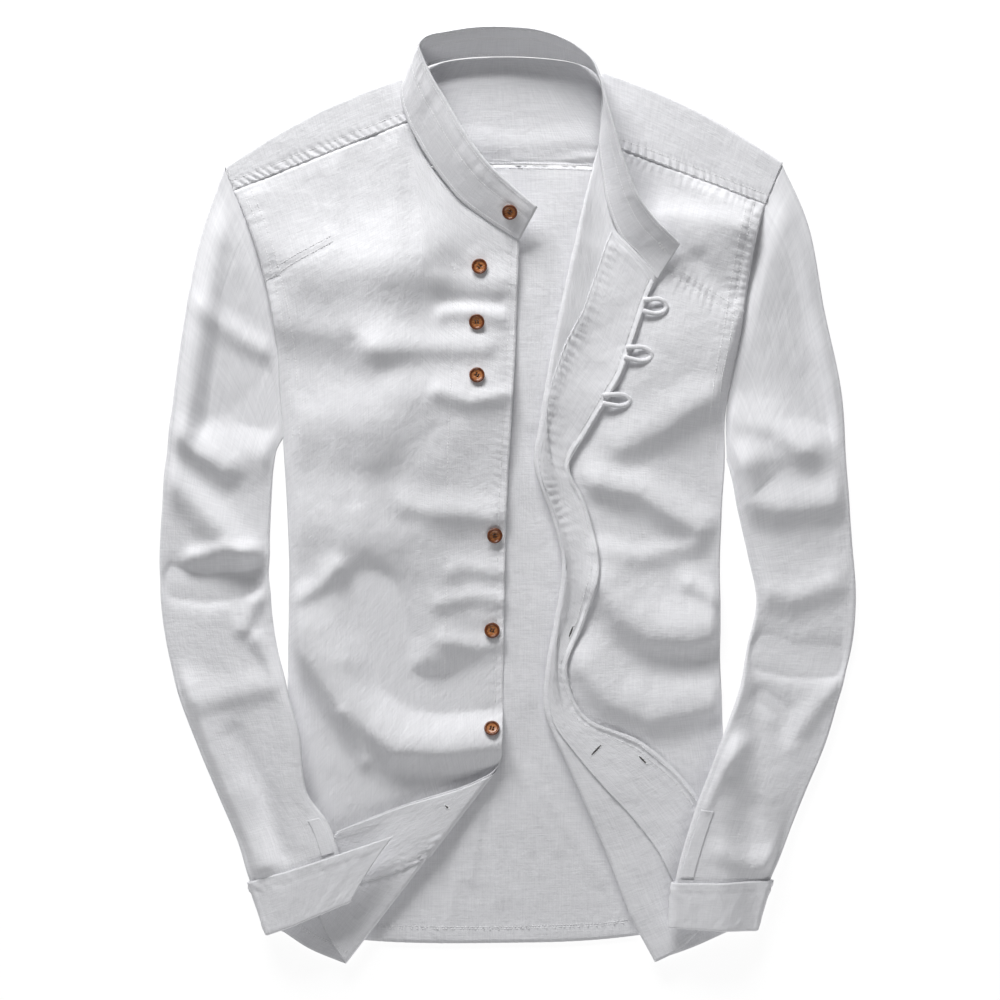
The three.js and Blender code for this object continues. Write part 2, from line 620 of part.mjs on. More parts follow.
// A dished button with a raised rim, turned to lie on the cloth under it
function button(name, place, normal, lift) {
  const radius = buttonDiameter / 2;
  const profile = [
    [0, 0], [radius * 0.72, 0], [radius, buttonThickness * 0.45], [radius, buttonThickness * 0.75],
    [radius * 0.88, buttonThickness], [radius * 0.66, buttonThickness * 0.72], [0, buttonThickness * 0.6],
  ];
  const geometry = new THREE.LatheGeometry(profile.map(([r, z]) => new THREE.Vector2(r, z)), 16);
  geometry.rotateX(Math.PI / 2);
  const mesh = piece(name, geometry, buttonLook());
  mesh.position.copy(place).addScaledVector(normal, lift);
  mesh.quaternion.setFromUnitVectors(point(0, 0, 1), normal);
  return mesh;
}

// Height of a mesh's upper face at a place, far below everything where the mesh isn't there
const wellAbove = 100;
function topOf(mesh, x, y) {
  const ray = new THREE.Raycaster(point(x, y, wellAbove), point(0, 0, -1));
  const hits = ray.intersectObject(mesh);
  return hits.length ? wellAbove - hits[0].distance : -wellAbove;
}

// Place and normal at which a button lies on a mesh, clear of it all round
function seatOn(mesh, x, y, above) {
  const heightAt = (dx, dy) => topOf(mesh, x + dx, y + dy);
  const reach = 0.36 * buttonDiameter;
  const slopeX = (heightAt(reach, 0) - heightAt(-reach, 0)) / (2 * reach);
  const slopeY = (heightAt(0, reach) - heightAt(0, -reach)) / (2 * reach);
  const plane = (dx, dy) => slopeX * dx + slopeY * dy;
  const turns = shares(12).map((k) => [reach * Math.cos(2 * Math.PI * k), reach * Math.sin(2 * Math.PI * k)]);
  const height = Math.max(heightAt(0, 0), ...turns.map(([dx, dy]) => heightAt(dx, dy) - plane(dx, dy)));
  return { place: point(x, y, height + above), normal: point(-slopeX, -slopeY, 1).normalize() };
}

function buttons(front) {
  const band = collarSurface();
  const { along, up } = collarButton;
  const across = band(along + 0.01, up).sub(band(along - 0.01, up));
  const upward = band(along, up + 0.2).sub(band(along, up - 0.2));
  const outward = across.cross(upward).normalize();
  if (outward.z < 0) outward.negate();
  const onCollar = button('button_1', band(along, up), outward, bandCloth / 2 + buttonSeat);
  const onFront = frontButtons.map(([x, y], k) => {
    const { place, normal } = seatOn(front, x, y, buttonSeat);
    return button(`button_${k + 2}`, place, normal, 0);
  });
  const [x, y] = hiddenButton;
  const place = point(x, y, frontHeight(x, y) + 2 * rollRadius);
  const underFlap = button('button_8', place, point(0, 0, -1), cloth / 2 + buttonSeat + 0.1);
  return [onCollar, ...onFront, underFlap];
}

// A cloth loop sewn on the facing at the left front edge. It reaches out over the edge and droops.
function loop(name, [rootX, rootY, tipX, tipY, spread], facing) {
  const root = point(rootX, rootY);
  const out = point(tipX, tipY).sub(root);
  const length = out.length() - loopCord / 2;
  out.normalize();
  const wide = point(-out.y, out.x);
  const flat = loopOutline.map(([reach, sidewise]) => root.clone().addScaledVector(out, reach * length)
    .addScaledVector(wide, sidewise * spread));
  const seats = [flat[0], flat[1], flat[7], flat[8]].map((place) => topOf(facing, place.x, place.y));
  const height = Math.max(...seats) + seamGap + loopCord / 2;
  const path = new THREE.CatmullRomCurve3(flat.map((place, k) =>
    place.setZ(height - loopDroop * Math.max(0, loopOutline[k][0] - 0.3) ** 1.5)));
  const section = new THREE.Shape();
  section.absarc(0, 0, loopCord / 2, 0, 2 * Math.PI, false);
  const geometry = new THREE.ExtrudeGeometry(section, { steps: 14, extrudePath: path, curveSegments: 3 });
  return piece(name, geometry);
}

const shirt = new THREE.Group();
const rightFront = frontRight();
const leftFacing = facingLeft();
shirt.add(
  backPanel(), yoke(), rightFront, frontLeft(), facingRight(), leftFacing, collarBand(),
  sleeve('right'), sleeve('left'), cuffRight(), cuffLeft(), sleevePlacket('right'), sleevePlacket('left'),
  ...buttons(rightFront),
  ...loops.map((row, k) => loop(`loop_${k + 1}`, row, leftFacing)),
);

export default shirt;
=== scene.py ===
# %% [markdown]
# # A mandarin collar shirt, laid open and flat
#
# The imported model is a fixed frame: every cut piece of the shirt is already there, at its real size,
# as a plain faceted wall. This script dresses each one as cloth. It works out the same surface again,
# much finer, adds the small creases and puckered seams, and gives it a woven finish.

# %% Load the frame
import math

import bmesh
import bpy
import numpy as np
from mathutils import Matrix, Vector
from mathutils.bvhtree import BVHTree


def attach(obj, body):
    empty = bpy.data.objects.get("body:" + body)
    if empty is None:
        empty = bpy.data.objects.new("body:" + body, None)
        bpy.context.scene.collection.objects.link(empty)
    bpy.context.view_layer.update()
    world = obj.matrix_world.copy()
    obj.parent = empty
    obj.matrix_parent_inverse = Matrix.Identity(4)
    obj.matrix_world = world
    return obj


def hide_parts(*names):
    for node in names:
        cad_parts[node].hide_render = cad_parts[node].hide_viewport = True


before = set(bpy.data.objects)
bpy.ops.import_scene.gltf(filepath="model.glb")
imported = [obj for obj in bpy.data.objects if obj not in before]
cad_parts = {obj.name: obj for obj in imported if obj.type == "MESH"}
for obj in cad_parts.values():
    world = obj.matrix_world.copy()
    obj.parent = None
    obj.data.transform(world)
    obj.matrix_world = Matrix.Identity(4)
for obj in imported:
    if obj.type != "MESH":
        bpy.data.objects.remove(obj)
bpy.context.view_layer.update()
MM = 0.001
print("frame nodes:", len(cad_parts))


# %% Helpers for objects and nodes
def add_object(name, data):
    """A new object for a mesh, a light or the camera, put into the scene."""
    made = bpy.data.objects.new(name, data)
    bpy.context.scene.collection.objects.link(made)
    return made


def set_inputs(node, values):
    """Gives the named sockets of a node their values."""
    for name, value in values.items():
        node.inputs[name].default_value = value


def new_material(name):
    """An empty Principled material with its nodes and links at hand."""
    material = bpy.data.materials.new(name)
    material.use_nodes = True
    return material, material.node_tree.nodes, material.node_tree.links


# %% [markdown]
# ## Camera, surface and light
#
# The photograph looks straight down on the shirt. With an 85 mm lens on a 36 mm sensor, a view 800 mm
# wide needs the camera 1.889 m above the cloth. The light is a big soft source on the collar's side,
# so that folds are bright towards the collar and dark towards the hem, and buttons throw a short shadow.

# %% Camera
VIEW_WIDTH = 0.8
LENS_MM = 85.0
SENSOR_MM = 36.0
VIEW_CENTRE = (-0.0056, -0.004)

camera_data = bpy.data.cameras.new("camera")
camera_data.lens = LENS_MM
camera_data.sensor_width = SENSOR_MM
camera_data.clip_end = 20
camera = add_object("camera", camera_data)
camera.location = (*VIEW_CENTRE, VIEW_WIDTH * LENS_MM / SENSOR_MM)
bpy.context.scene.camera = camera

# %% Floor and light
FLOOR_SIZE = 60
FLOOR_HEIGHT = -0.0002
SKY_STRENGTH = 0.17


def make_floor():
    bpy.ops.mesh.primitive_plane_add(size=FLOOR_SIZE, location=(0, 0, FLOOR_HEIGHT))
    floor = bpy.context.object
    floor.name = "floor"
    material, nodes, _ = new_material("pale_floor")
    set_inputs(nodes["Principled BSDF"], {
        "Base Color": (0.16, 0.16, 0.16, 1), "Roughness": 0.9,
        "Emission Color": (1, 1, 1, 1), "Emission Strength": 0.9,
    })
    floor.data.materials.append(material)


def area_light(name, location, aim, size, watts):
    data = bpy.data.lights.new(name, "AREA")
    data.shape = "RECTANGLE"
    data.size, data.size_y = size
    data.energy = watts
    light = add_object(name, data)
    light.location = location
    light.rotation_euler = (Vector(aim) - Vector(location)).to_track_quat("-Z", "Y").to_euler()


make_floor()
area_light("window", (-0.5, 1.82, 0.84), (0, 0, 0), (1.3, 0.6), 50)
area_light("fill", (0.3, -1.7, 1.1), (0, 0.2, 0), (1.2, 0.8), 10)
world = bpy.data.worlds.new("studio")
world.use_nodes = True
set_inputs(world.node_tree.nodes["Background"], {"Color": (0.97, 0.98, 1.0, 1), "Strength": SKY_STRENGTH})
bpy.context.scene.world = world
bpy.context.scene.view_settings.view_transform = "Standard"

# %% [markdown]
# ## Curves and patches
#
# A pattern cutter draws a piece by its edges. So does this script: each edge is a smooth curve through a
# few points, and the cloth between four edges is a patch that blends them. All points are in millimetres.

# %% Curve and patch helpers
def smooth(low, high, value):
    t = np.clip((np.asarray(value, float) - low) / (high - low), 0, 1)
    return t * t * (3 - 2 * t)


def mix(a, b, t):
    return a + (b - a) * t


class Curve:
    """A centripetal Catmull-Rom curve through points in space."""

    def __init__(self, rows):
        self.points = np.array([(*row, 0.0)[:3] for row in rows], float)
        self.lengths = None

    def by_row(self, t):
        points = self.points
        last = len(points) - 1
        place = np.clip(np.atleast_1d(np.asarray(t, float)), 0, 1) * last
        first = np.minimum(place.astype(int), last - 1)
        share = (place - first)[:, None]
        before = 2 * points[0] - points[1]
        after = 2 * points[-1] - points[-2]
        padded = np.vstack([before, points, after])
        p0, p1, p2, p3 = (padded[first + k] for k in range(4))
        gaps = [np.sum((b - a) ** 2, axis=1)[:, None] ** 0.25 for a, b in ((p0, p1), (p1, p2), (p2, p3))]
        d0, d1, d2 = (np.maximum(gap, 1e-6) for gap in gaps)
        m1 = ((p1 - p0) / d0 - (p2 - p0) / (d0 + d1) + (p2 - p1) / d1) * d1
        m2 = ((p2 - p1) / d1 - (p3 - p1) / (d1 + d2) + (p3 - p2) / d2) * d1
        c2 = -3 * p1 + 3 * p2 - 2 * m1 - m2
        c3 = 2 * p1 - 2 * p2 + m1 + m2
        return p1 + share * (m1 + share * (c2 + share * c3))

    def by_length(self, t):
        steps = np.linspace(0, 1, 201)
        if self.lengths is None:
            samples = self.by_row(steps)
            hops = np.linalg.norm(np.diff(samples, axis=0), axis=1)
            self.lengths = np.concatenate([[0], np.cumsum(hops)])
        wanted = np.clip(np.atleast_1d(np.asarray(t, float)), 0, 1) * self.lengths[-1]
        return self.by_row(np.interp(wanted, self.lengths, steps))


def by_row(rows):
    return Curve(rows).by_row


def by_length(rows):
    return Curve(rows).by_length


def line(start, finish):
    a, b = (np.array((*p, 0.0)[:3], float) for p in (start, finish))
    return lambda t: a + (b - a) * np.atleast_1d(np.asarray(t, float))[:, None]


def joined(first, second, share):
    def path(t):
        t = np.atleast_1d(np.asarray(t, float))
        return np.where((t < share)[:, None], first(t / share), second((t - share) / (1 - share)))
    return path


def patch(top, bottom, left, right):
    """A function of u (across) and v (down) that gives a grid of points between four edges."""
    def surface(u, v):
        a, b = np.atleast_1d(u)[:, None, None], np.atleast_1d(v)[None, :, None]
        sides = left(v)[None] * (1 - a) + right(v)[None] * a
        ends = top(u)[:, None] * (1 - b) + bottom(u)[:, None] * b
        upper = (top(0)[None] * (1 - a) + top(1)[None] * a) * (1 - b)
        lower = (bottom(0)[None] * (1 - a) + bottom(1)[None] * a) * b
        return sides + ends - upper - lower
    return surface


def shares(count):
    return np.linspace(0, 1, count + 1)


def column(rows, first):
    return [(row[first], row[first + 1]) for row in rows]


# %% [markdown]
# ## The shirt's sizes
#
# These are the maker's sizes of the frame: cloth thickness, layer heights and roll radii, then tables of
# the edges. Each table names its columns, and the wearer's right side is at minus x.

# %% Thicknesses and heights
CLOTH = 1.2
FACING_CLOTH = 1.0
BAND_CLOTH = 2.0
CUFF_CLOTH = 1.6
SEAM_GAP = 0.3
BACK_SEAM_GAP = 0.6
COLLAR_EASE = 0.2
GROUND_HEIGHT = CLOTH / 2
SIDE_SEAM_HEIGHT = 2.2
PLUMP_RISE = 1.4
SHOULDER_HEIGHT = 5.6
SHOULDER_RADIUS = (SHOULDER_HEIGHT - GROUND_HEIGHT) / 2
SHOULDER_BOW = 6
ARM_EASE = 1.0
ROLL_RADIUS = 3.0
ROLL_RADIUS_AT_NECK = 0.9
FACING_LIFT = CLOTH / 2 + SEAM_GAP + FACING_CLOTH / 2 + 0.15
SLEEVE_GAP = 4.4
SLEEVE_BULGE = 0.6
CLIMB_OVER_BODY = 12.2
BODY_HALF_WIDTH = 176
CUFF_RADIUS = 1.3
BUTTON_DIAMETER = 12.5

# %% Edges of the right front
# Columns: x, y.
RIGHT_SIDE = [
    (-218, 243), (-206, 214), (-196, 183), (-188, 148), (-183, 112), (-181, 76), (-179, 44),
    (-176, -4), (-174, -52), (-174, -92), (-175, -140), (-177, -244), (-180, -348),
]
RIGHT_HEM = [(-180, -348), (-158, -362), (-132, -373)]
RIGHT_EDGE = [(10, 204), (8, 150), (6, 100), (3, 50), (0, -4), (-2, -84), (-3, -164), (-4, -207)]
CORNER_EDGE = [(-4, -207), (-12, -244), (-15, -300), (-22, -356), (-25, -372)]
CORNER_HEM = [(-132, -373), (-108, -381), (-84, -386), (-52, -381), (-25, -372)]
RIGHT_NECK = [(-79, 298), (-66, 270), (-51, 249), (-30, 229), (-10, 216), (10, 204)]
RIGHT_NECK_SHARE = 0.55
RIGHT_SIDE_SHARE = 0.86
CORNER_FACING_REACH = 86

# %% Edges of the left front
# Columns: side seam x, y; roll x, y; front edge x, y.
LEFT_ROWS = [
    (206, 232, 74, 282, 120, 171), (198, 204, 62, 236, 115, 161), (192, 168, 52, 192, 110, 147),
    (186, 128, 42, 146, 103, 126), (179, 94, 33, 100, 92, 95), (174, 60, 26, 57, 68, 54),
    (174, 26, 22, 24, 50, 23), (172, -4, 36, -17, 64, -10), (170, -52, 44, -52, 74, -58),
    (170, -92, 39, -96, 62, -102), (170, -124, 32, -133, 48, -138), (171, -156, 30, -172, 62, -176),
    (172, -180, 45, -208, 106, -196), (174, -212, 62, -246, 137, -222), (175, -252, 81, -290, 154, -244),
    (177, -300, 98, -334, 166, -280), (178, -348, 118, -372, 169, -328),
]
LEFT_NECK = [(74, 282), (76, 258), (81, 229), (87, 210), (98, 198), (111, 184), (120, 171)]
LEFT_HEM = [(178, -348), (146, -362), (118, -372)]
LEFT_FLAP_HEM = [(118, -372), (130, -366), (147, -354), (169, -328)]
# Columns: share of the way down, share of the flap that the facing leaves bare.
LEFT_FACING_BARE = [
    (0, 0.55), (0.07, 0.5), (0.136, 0.42), (0.205, 0.28), (0.274, 0.19), (0.32, 0.08), (0.36, 0.04),
    (0.6, 0.04), (0.7, 0.04), (0.76, 0.2), (0.82, 0.34), (0.88, 0.44), (0.94, 0.5), (1, 0.52),
]

# %% Edges of the back, the yoke and the collar
# Yoke columns: neck x, y; outer seam x, y.
YOKE_BACK_ROWS = [
    (-80, 327, -218, 249), (-72, 337, -211, 229), (-54, 345, -142, 251), (-30, 349, -70, 262),
    (-3, 350, 0, 264), (26, 349, 74, 262), (50, 346, 146, 249), (66, 341, 201, 227), (75, 333, 211, 249),
]
# Shoulder columns: neck seam x, y; arm seam x, y; fold at the neck x, y; fold at the arm x, y.
YOKE_SHOULDERS = {
    "right": ((-79, 298), (-218, 243), (-85, 333), (-225, 262)),
    "left": ((74, 282), (206, 232), (76.5, 338.5), (220, 265)),
}
BACK_HEM = [(-180, -349), (-96, -357), (-5, -358), (77, -355), (176, -341)]
BACK_SIDES = {
    "right": [(-211, 229), (-205, 214), (-196, 183), (-188, 148), (-183, 112), (-181, 76), (-178, 44),
              (-175, -4), (-173, -52), (-173, -92), (-174, -140), (-176, -244), (-180, -349)],
    "left": [(201, 227), (196, 204), (191, 168), (185, 128), (178, 94), (173, 60), (173, 26),
             (171, -4), (169, -52), (169, -124), (170, -156), (173, -212), (176, -341)],
}
# Collar columns: seam x, y, height over the front; top x, y, rise over the seam.
COLLAR_ROWS = [
    (10, 203, 0, 24, 228, 12), (-14, 218, 0, 4, 244, 15), (-37, 235, 0, -15, 261, 18),
    (-55, 257, 0, -34, 286, 19), (-70, 280, 0, -49, 312, 19), (-79, 298, 0, -60, 330, 20),
    (-84, 316, 0, -67, 346, 20), (-83, 328, 0, -69, 356, 20), (-73, 338, -2.7, -64, 362, 22),
    (-54, 346, -5, -47, 366, 24), (-30, 350, -5, -24, 369, 26), (0, 351, -5, 0, 369, 27),
    (26, 350, -5, 26, 366, 28), (50, 347, -5, 47, 358, 30), (64, 342, -3.5, 60, 349, 31),
    (73, 334, -1, 68, 340, 32), (77, 320, 0, 74, 324, 33), (76, 300, 0.6, 79, 306, 32),
    (74, 282, 1.8, 85, 286, 29), (76, 258, 1.8, 93, 260, 26), (81, 229, 1.8, 103, 236, 23),
    (91, 205, 1.8, 115, 220, 19), (106, 189, 1.8, 127, 208, 15), (120, 171, 1.8, 137, 199, 8),
]

# %% Edges of the sleeves
# Columns: outer x, y; inner x, y.
SLEEVE_ROWS = {
    "right": [
        (-226, 262, -179, 44), (-246, 204, -184, 34), (-259, 140, -186, 20), (-268, 68, -187, 4),
        (-274, 12, -188, -16), (-278, -40, -189, -44), (-278, -76, -189, -68), (-273, -116, -184, -116),
        (-262, -160, -174, -156), (-246, -202, -164, -192), (-228, -244, -159, -236),
        (-214, -278, -142, -260), (-205, -308, -133, -284), (-188, -354, -121, -325),
    ],
    "left": [
        (220, 265, 176, 26), (242, 216, 178, 18), (255, 150, 180, 8), (268, 84, 182, -6),
        (272, 20, 186, -24), (276, -36, 192, -49), (279, -84, 199, -84), (275, -128, 190, -124),
        (266, -160, 186, -150), (255, -198, 174, -184), (240, -234, 160, -222),
        (226, -268, 147, -256), (210, -307, 133, -307), (196, -351, 130, -346),
    ],
}
ARMHOLES = {
    "right": [(-226, 262), (-218, 243), (-206, 214), (-196, 183),
              (-188, 148), (-183, 112), (-181, 76), (-179, 44)],
    "left": [(220, 265), (206, 232), (198, 204), (192, 168), (186, 128), (179, 94), (175, 60), (176, 26)],
}
SLEEVE_END = 0.958
CUFF_SEAM = 0.9605
CUFF_TURN = 0.99
CUFF_TOP = 12 / 13
CUFF_FLARE = 1.6

# %% [markdown]
# ## Folds and creases
#
# A shirt that has been laid down by hand has a few broad folds and many small creases. The broad ones are
# in the frame already. The small ones are added here, each a soft ridge (positive) or trough (negative)
# along a short line, and all of uneven length, width and depth.

# %% Fold tables
# Columns: from x, y, to x, y, half width, rise.
BODY_FOLDS = [
    (-190, 184, -92, 182, 26, 5.0), (-126, 138, -118, 6, 22, 6.0), (-88, 78, -16, 80, 12, 3.0),
    (-122, -6, -56, -72, 22, 5.0), (-82, -14, -14, -30, 13, 4.0), (-74, -78, -72, -152, 18, 4.0),
    (-158, -106, -90, -200, 17, 6.5), (-90, -200, -12, -188, 17, 6.5), (134, 186, 190, 206, 18, 4.5),
    (86, 54, 138, 76, 18, 3.5), (76, 14, 152, -32, 13, 5.0), (74, -86, 160, -108, 15, 5.0),
    (70, -156, 164, -154, 13, 4.0),
]
SLEEVE_FOLDS = [
    (-268, 10, -210, -46, 12, 4.0), (-272, -72, -200, -80, 10, 3.5), (-256, -160, -220, -236, 12, 3.0),
    (-176, -176, -150, -250, 12, 3.0), (206, 58, 262, 20, 14, 4.0), (204, -60, 270, -56, 10, 3.5),
    (196, -130, 262, -150, 10, 3.5), (172, -230, 176, -290, 16, 3.5),
]

# %% Crease tables
# Columns: rise, width on the left of the line, width on its right, points of the line. The back's creases
# have the columns of the folds, with a rise of their own at the end.
BODY_CREASES = [
    (7.0, 29, 14, [(-172, -110), (-134, -162), (-89, -201), (-46, -202), (-6, -197)]),
    (-5.5, 17, 32, [(-105, -74), (-92, -112), (-86, -146), (-54, -158), (-4, -156)]),
    (3.4, 21, 21, [(-66, -32), (-56, -68), (-55, -116), (-65, -135)]),
    (2.4, 23, 12, [(-140, -62), (-135, -100), (-124, -128)]),
    (6.0, 39, 30, [(-102, 156), (-98, 108), (-92, 76), (-86, 36), (-71, 23)]),
    (-1.4, 6, 9, [(-124, 120), (-124, 60), (-122, -4)]),
    (2.8, 30, 23, [(-142, 170), (-108, 182), (-82, 178)]),
    (4.0, 30, 53, [(-90, 78), (-54, 82), (-22, 80)]),
    (2.8, 14, 10, [(-103, 114), (-70, 117), (-20, 118)]),
    (1.2, 10, 14, [(-54, 171), (-2, 170)]),
    (3.0, 16, 10, [(-79, -8), (-60, -11), (-12, -17)]),
    (1.8, 6, 7, [(-131, -174), (-113, -212)]),
    (2.2, 8, 7, [(-172, -84), (-151, -74), (-134, -58)]),
    (3.4, 28, 18, [(-191, 138), (-142, 132), (-108, 120)]),
    (0.6, 6, 10, [(-135, 276), (-135, 196)]),
    (-0.6, 10, 10, [(-76, 276), (-78, 188)]),
    (0.5, 9, 9, [(-90, 276), (-87, 204)]),
    (-0.8, 8, 8, [(-44, 252), (-30, 200)]),
    (1.5, 6, 8, [(-50, 144), (-30, 146), (-6, 142)]),
    (1.6, 7, 7, [(-54, 82), (-30, 74), (-2, 80)]),
    (-1.2, 6, 6, [(-50, 156), (-6, 154)]),
    (1.2, 8, 7, [(-42, -60), (-38, -57), (-6, -62)]),
    (1.4, 7, 7, [(-54, -86), (-26, -81), (-4, -84)]),
    (1.4, 8, 7, [(-50, -116), (-22, -121), (-4, -116)]),
    (3.2, 46, 25, [(-206, 196), (-142, 186), (-70, 196)]),
    (3.0, 34, 34, [(-166, -20), (-118, -36), (-70, -28)]),
    (2.6, 25, 30, [(-166, 52), (-102, 54)]),
    (3.5, 34, 30, [(122, 132), (154, 138), (186, 132)]),
    (4.0, 17, 10, [(73, 9), (106, 1), (132, -15), (152, -26)]),
    (6.0, 26, 14, [(77, -72), (92, -96), (114, -111), (146, -114), (169, -106)]),
    (4.2, 21, 12, [(62, -138), (82, -164), (114, -177), (166, -166)]),
    (4.6, 16, 39, [(129, 218), (158, 215), (185, 210)]),
    (3.4, 25, 51, [(103, 88), (138, 98), (167, 102)]),
    (-1.4, 9, 9, [(154, 186), (182, 156)]),
    (3.2, 17, 12, [(92, 39), (124, 54), (158, 76)]),
    (2.4, 14, 14, [(158, 252), (182, 216)]),
    (1.6, 8, 9, [(74, -42), (106, -49), (154, -40)]),
    (2.2, 9, 7, [(146, -71), (170, -84)]),
]
BACK_CREASES = [
    (-3, -214, 19, -284, 4, 1.3), (-17, -228, -30, -308, 4, 1.1), (4, -212, 42, -284, 4.8, 1),
    (-26, -244, -47, -344, 4, 0.8), (-10, -220, -6, -324, 4.8, 0.7), (18, -220, 74, -308, 5.6, 0.8),
    (-62, -308, -54, -352, 4, 0.7), (26, -84, 18, -164, 7.2, 0.8), (10, 156, 17, 60, 7.2, 0.9),
    (30, 196, 26, 132, 6.4, 0.8),
]
SLEEVE_CREASES = [
    (-1.6, 14, 25, [(-210, 210), (-206, 156), (-196, 92), (-196, 52)]),
    (4.6, 12, 15, [(-271, 14), (-246, -8), (-211, -44)]),
    (3.0, 12, 8, [(-265, 50), (-242, 32), (-225, 20)]),
    (-4.6, 15, 10, [(-271, -71), (-238, -78), (-201, -69)]),
    (3.0, 7, 10, [(-250, -49), (-222, -43), (-194, -46)]),
    (2.4, 8, 6, [(-209, -106), (-201, -86), (-191, -78)]),
    (2.4, 8, 7, [(-199, -116), (-178, -145)]),
    (4.2, 15, 16, [(-257, -156), (-234, -212), (-196, -292)]),
    (2.2, 14, 10, [(-242, -164), (-206, -156), (-180, -150)]),
    (-2.0, 10, 10, [(-218, -192), (-196, -236), (-178, -284)]),
    (2.0, 9, 9, [(-254, 156), (-222, 132), (-196, 116)]),
    (-2.4, 12, 25, [(230, 232), (237, 156), (252, 92), (268, 38)]),
    (4.6, 17, 13, [(188, 20), (193, -4), (214, -10), (258, -5)]),
    (3.4, 18, 10, [(185, 60), (214, 54), (234, 38)]),
    (-4.6, 17, 10, [(188, -126), (226, -136), (270, -138)]),
    (2.6, 12, 12, [(193, -74), (226, -82), (258, -72)]),
    (-2.2, 9, 9, [(204, -162), (222, -174), (223, -193)]),
    (3.6, 17, 14, [(182, -208), (204, -244), (209, -292)]),
    (2.6, 8, 8, [(185, -198), (167, -220), (153, -244)]),
    (1.8, 9, 8, [(226, -196), (250, -164), (262, -156)]),
    (1.8, 10, 9, [(170, -284), (194, -294), (226, -284)]),
]


# %% Height of the cloth
def fold_rise(folds, x, y):
    total = np.zeros(np.shape(x))
    for x0, y0, x1, y1, width, rise in folds:
        dx, dy = x1 - x0, y1 - y0
        t = np.clip(((x - x0) * dx + (y - y0) * dy) / (dx * dx + dy * dy), 0, 1)
        total = total + rise * np.exp(-((x - x0 - dx * t) ** 2 + (y - y0 - dy * t) ** 2) / width ** 2)
    return total


def crease_rise(creases, x, y):
    """Creases along lines of several points, each with its own width on either side of the line."""
    total = np.zeros(np.shape(x))
    for rise, left, right, path in creases:
        nearest = np.full(np.shape(x), 1e9)
        side = np.zeros(np.shape(x))
        for (x0, y0), (x1, y1) in zip(path[:-1], path[1:]):
            dx, dy = x1 - x0, y1 - y0
            t = np.clip(((x - x0) * dx + (y - y0) * dy) / (dx * dx + dy * dy), 0, 1)
            distance = np.hypot(x - x0 - dx * t, y - y0 - dy * t)
            nearer = distance < nearest
            nearest = np.where(nearer, distance, nearest)
            sine = (dx * (y - y0) - dy * (x - x0)) / (math.hypot(dx, dy) * np.maximum(distance, 1e-6))
            side = np.where(nearer, np.clip(sine, -1, 1), side)
        width = mix(right, left, smooth(-0.8, 0.8, side))
        total = total + rise * np.exp(-(nearest / width) ** 2)
    return total


def rumple(x, y, size, seed):
    """Smooth uneven noise between -1 and 1, whose lumps are about size across."""
    rng = np.random.default_rng(seed)
    lattice = rng.uniform(-1, 1, (64, 64))
    gx, gy = np.asarray(x) / size + 1000, np.asarray(y) / size + 1000
    ix, iy = np.floor(gx).astype(int), np.floor(gy).astype(int)
    fx, fy = smooth(0, 1, gx - ix), smooth(0, 1, gy - iy)
    corner = lambda a, b: lattice[(ix + a) % 64, (iy + b) % 64]
    return mix(mix(corner(0, 0), corner(1, 0), fx), mix(corner(0, 1), corner(1, 1), fx), fy)


def small_rumples(x, y, seed):
    turned_x, turned_y = x * 0.8 - y * 0.6, x * 0.6 + y * 0.8
    broad = 0.9 * rumple(turned_x, turned_y * 0.6, 34, seed)
    middle = 0.5 * rumple(turned_x * 0.7, turned_y, 15, seed + 1)
    fine = 0.16 * rumple(x, y, 6, seed + 2)
    return broad + middle + fine


# How much higher the creases stand than their tables say, how low the front may sink, and how softly it
# comes to rest there, in millimetres.
RELIEF = 1.9
FRONT_FLOOR = 1.9
FLOOR_SOFTNESS = 0.7


def front_height(x, y, fine=True):
    """Height of the front panels over the surface. fine adds what the frame leaves to the cloth."""
    side = BODY_HALF_WIDTH + 0.23 * np.maximum(0, y - 60)
    inset = side - np.abs(x)
    flat = SIDE_SEAM_HEIGHT + PLUMP_RISE * smooth(0, 60, inset)
    base = mix(flat, SHOULDER_HEIGHT, smooth(40, 240, y))
    yoke_seam = 300 - 0.4 * np.maximum(0, np.abs(x) - 80)
    fade = smooth(2, 30, inset) * smooth(4, 30, yoke_seam - y)
    if not fine:
        return base + fade * fold_rise(BODY_FOLDS, x, y)
    soft = smooth(0, 14, inset) * smooth(0, 14, yoke_seam - y)
    broad = 0.25 * fade * fold_rise(BODY_FOLDS, x, y)
    shape = base + broad + soft * (RELIEF * crease_rise(BODY_CREASES, x, y) + small_rumples(x, y, 11))
    return FRONT_FLOOR + FLOOR_SOFTNESS * np.logaddexp(0, (shape - FRONT_FLOOR) / FLOOR_SOFTNESS)


print("height at the third button:", round(float(front_height(np.array(-24.0), np.array(95.0))), 2), "mm")

# %% [markdown]
# ## Walls from grids
#
# Each piece ends up as a thin closed wall: the grid of points in the middle of the cloth is pushed out
# both ways along its own normals, and the rims are closed. A hem is cloth folded double, so the wall is
# thicker there. The cloth's own lengths become its UV map, so that the weave runs along the cut.

# %% Wall builder
CLOTH_SCALE = 0.62
ALL_PIECES = []


def grid_normals(grid, closed):
    if closed:
        across = np.roll(grid, -1, axis=0) - np.roll(grid, 1, axis=0)
    else:
        across = np.gradient(grid, axis=0)
    normals = np.cross(across, np.gradient(grid, axis=1))
    return normals / np.maximum(np.linalg.norm(normals, axis=2, keepdims=True), 1e-9)


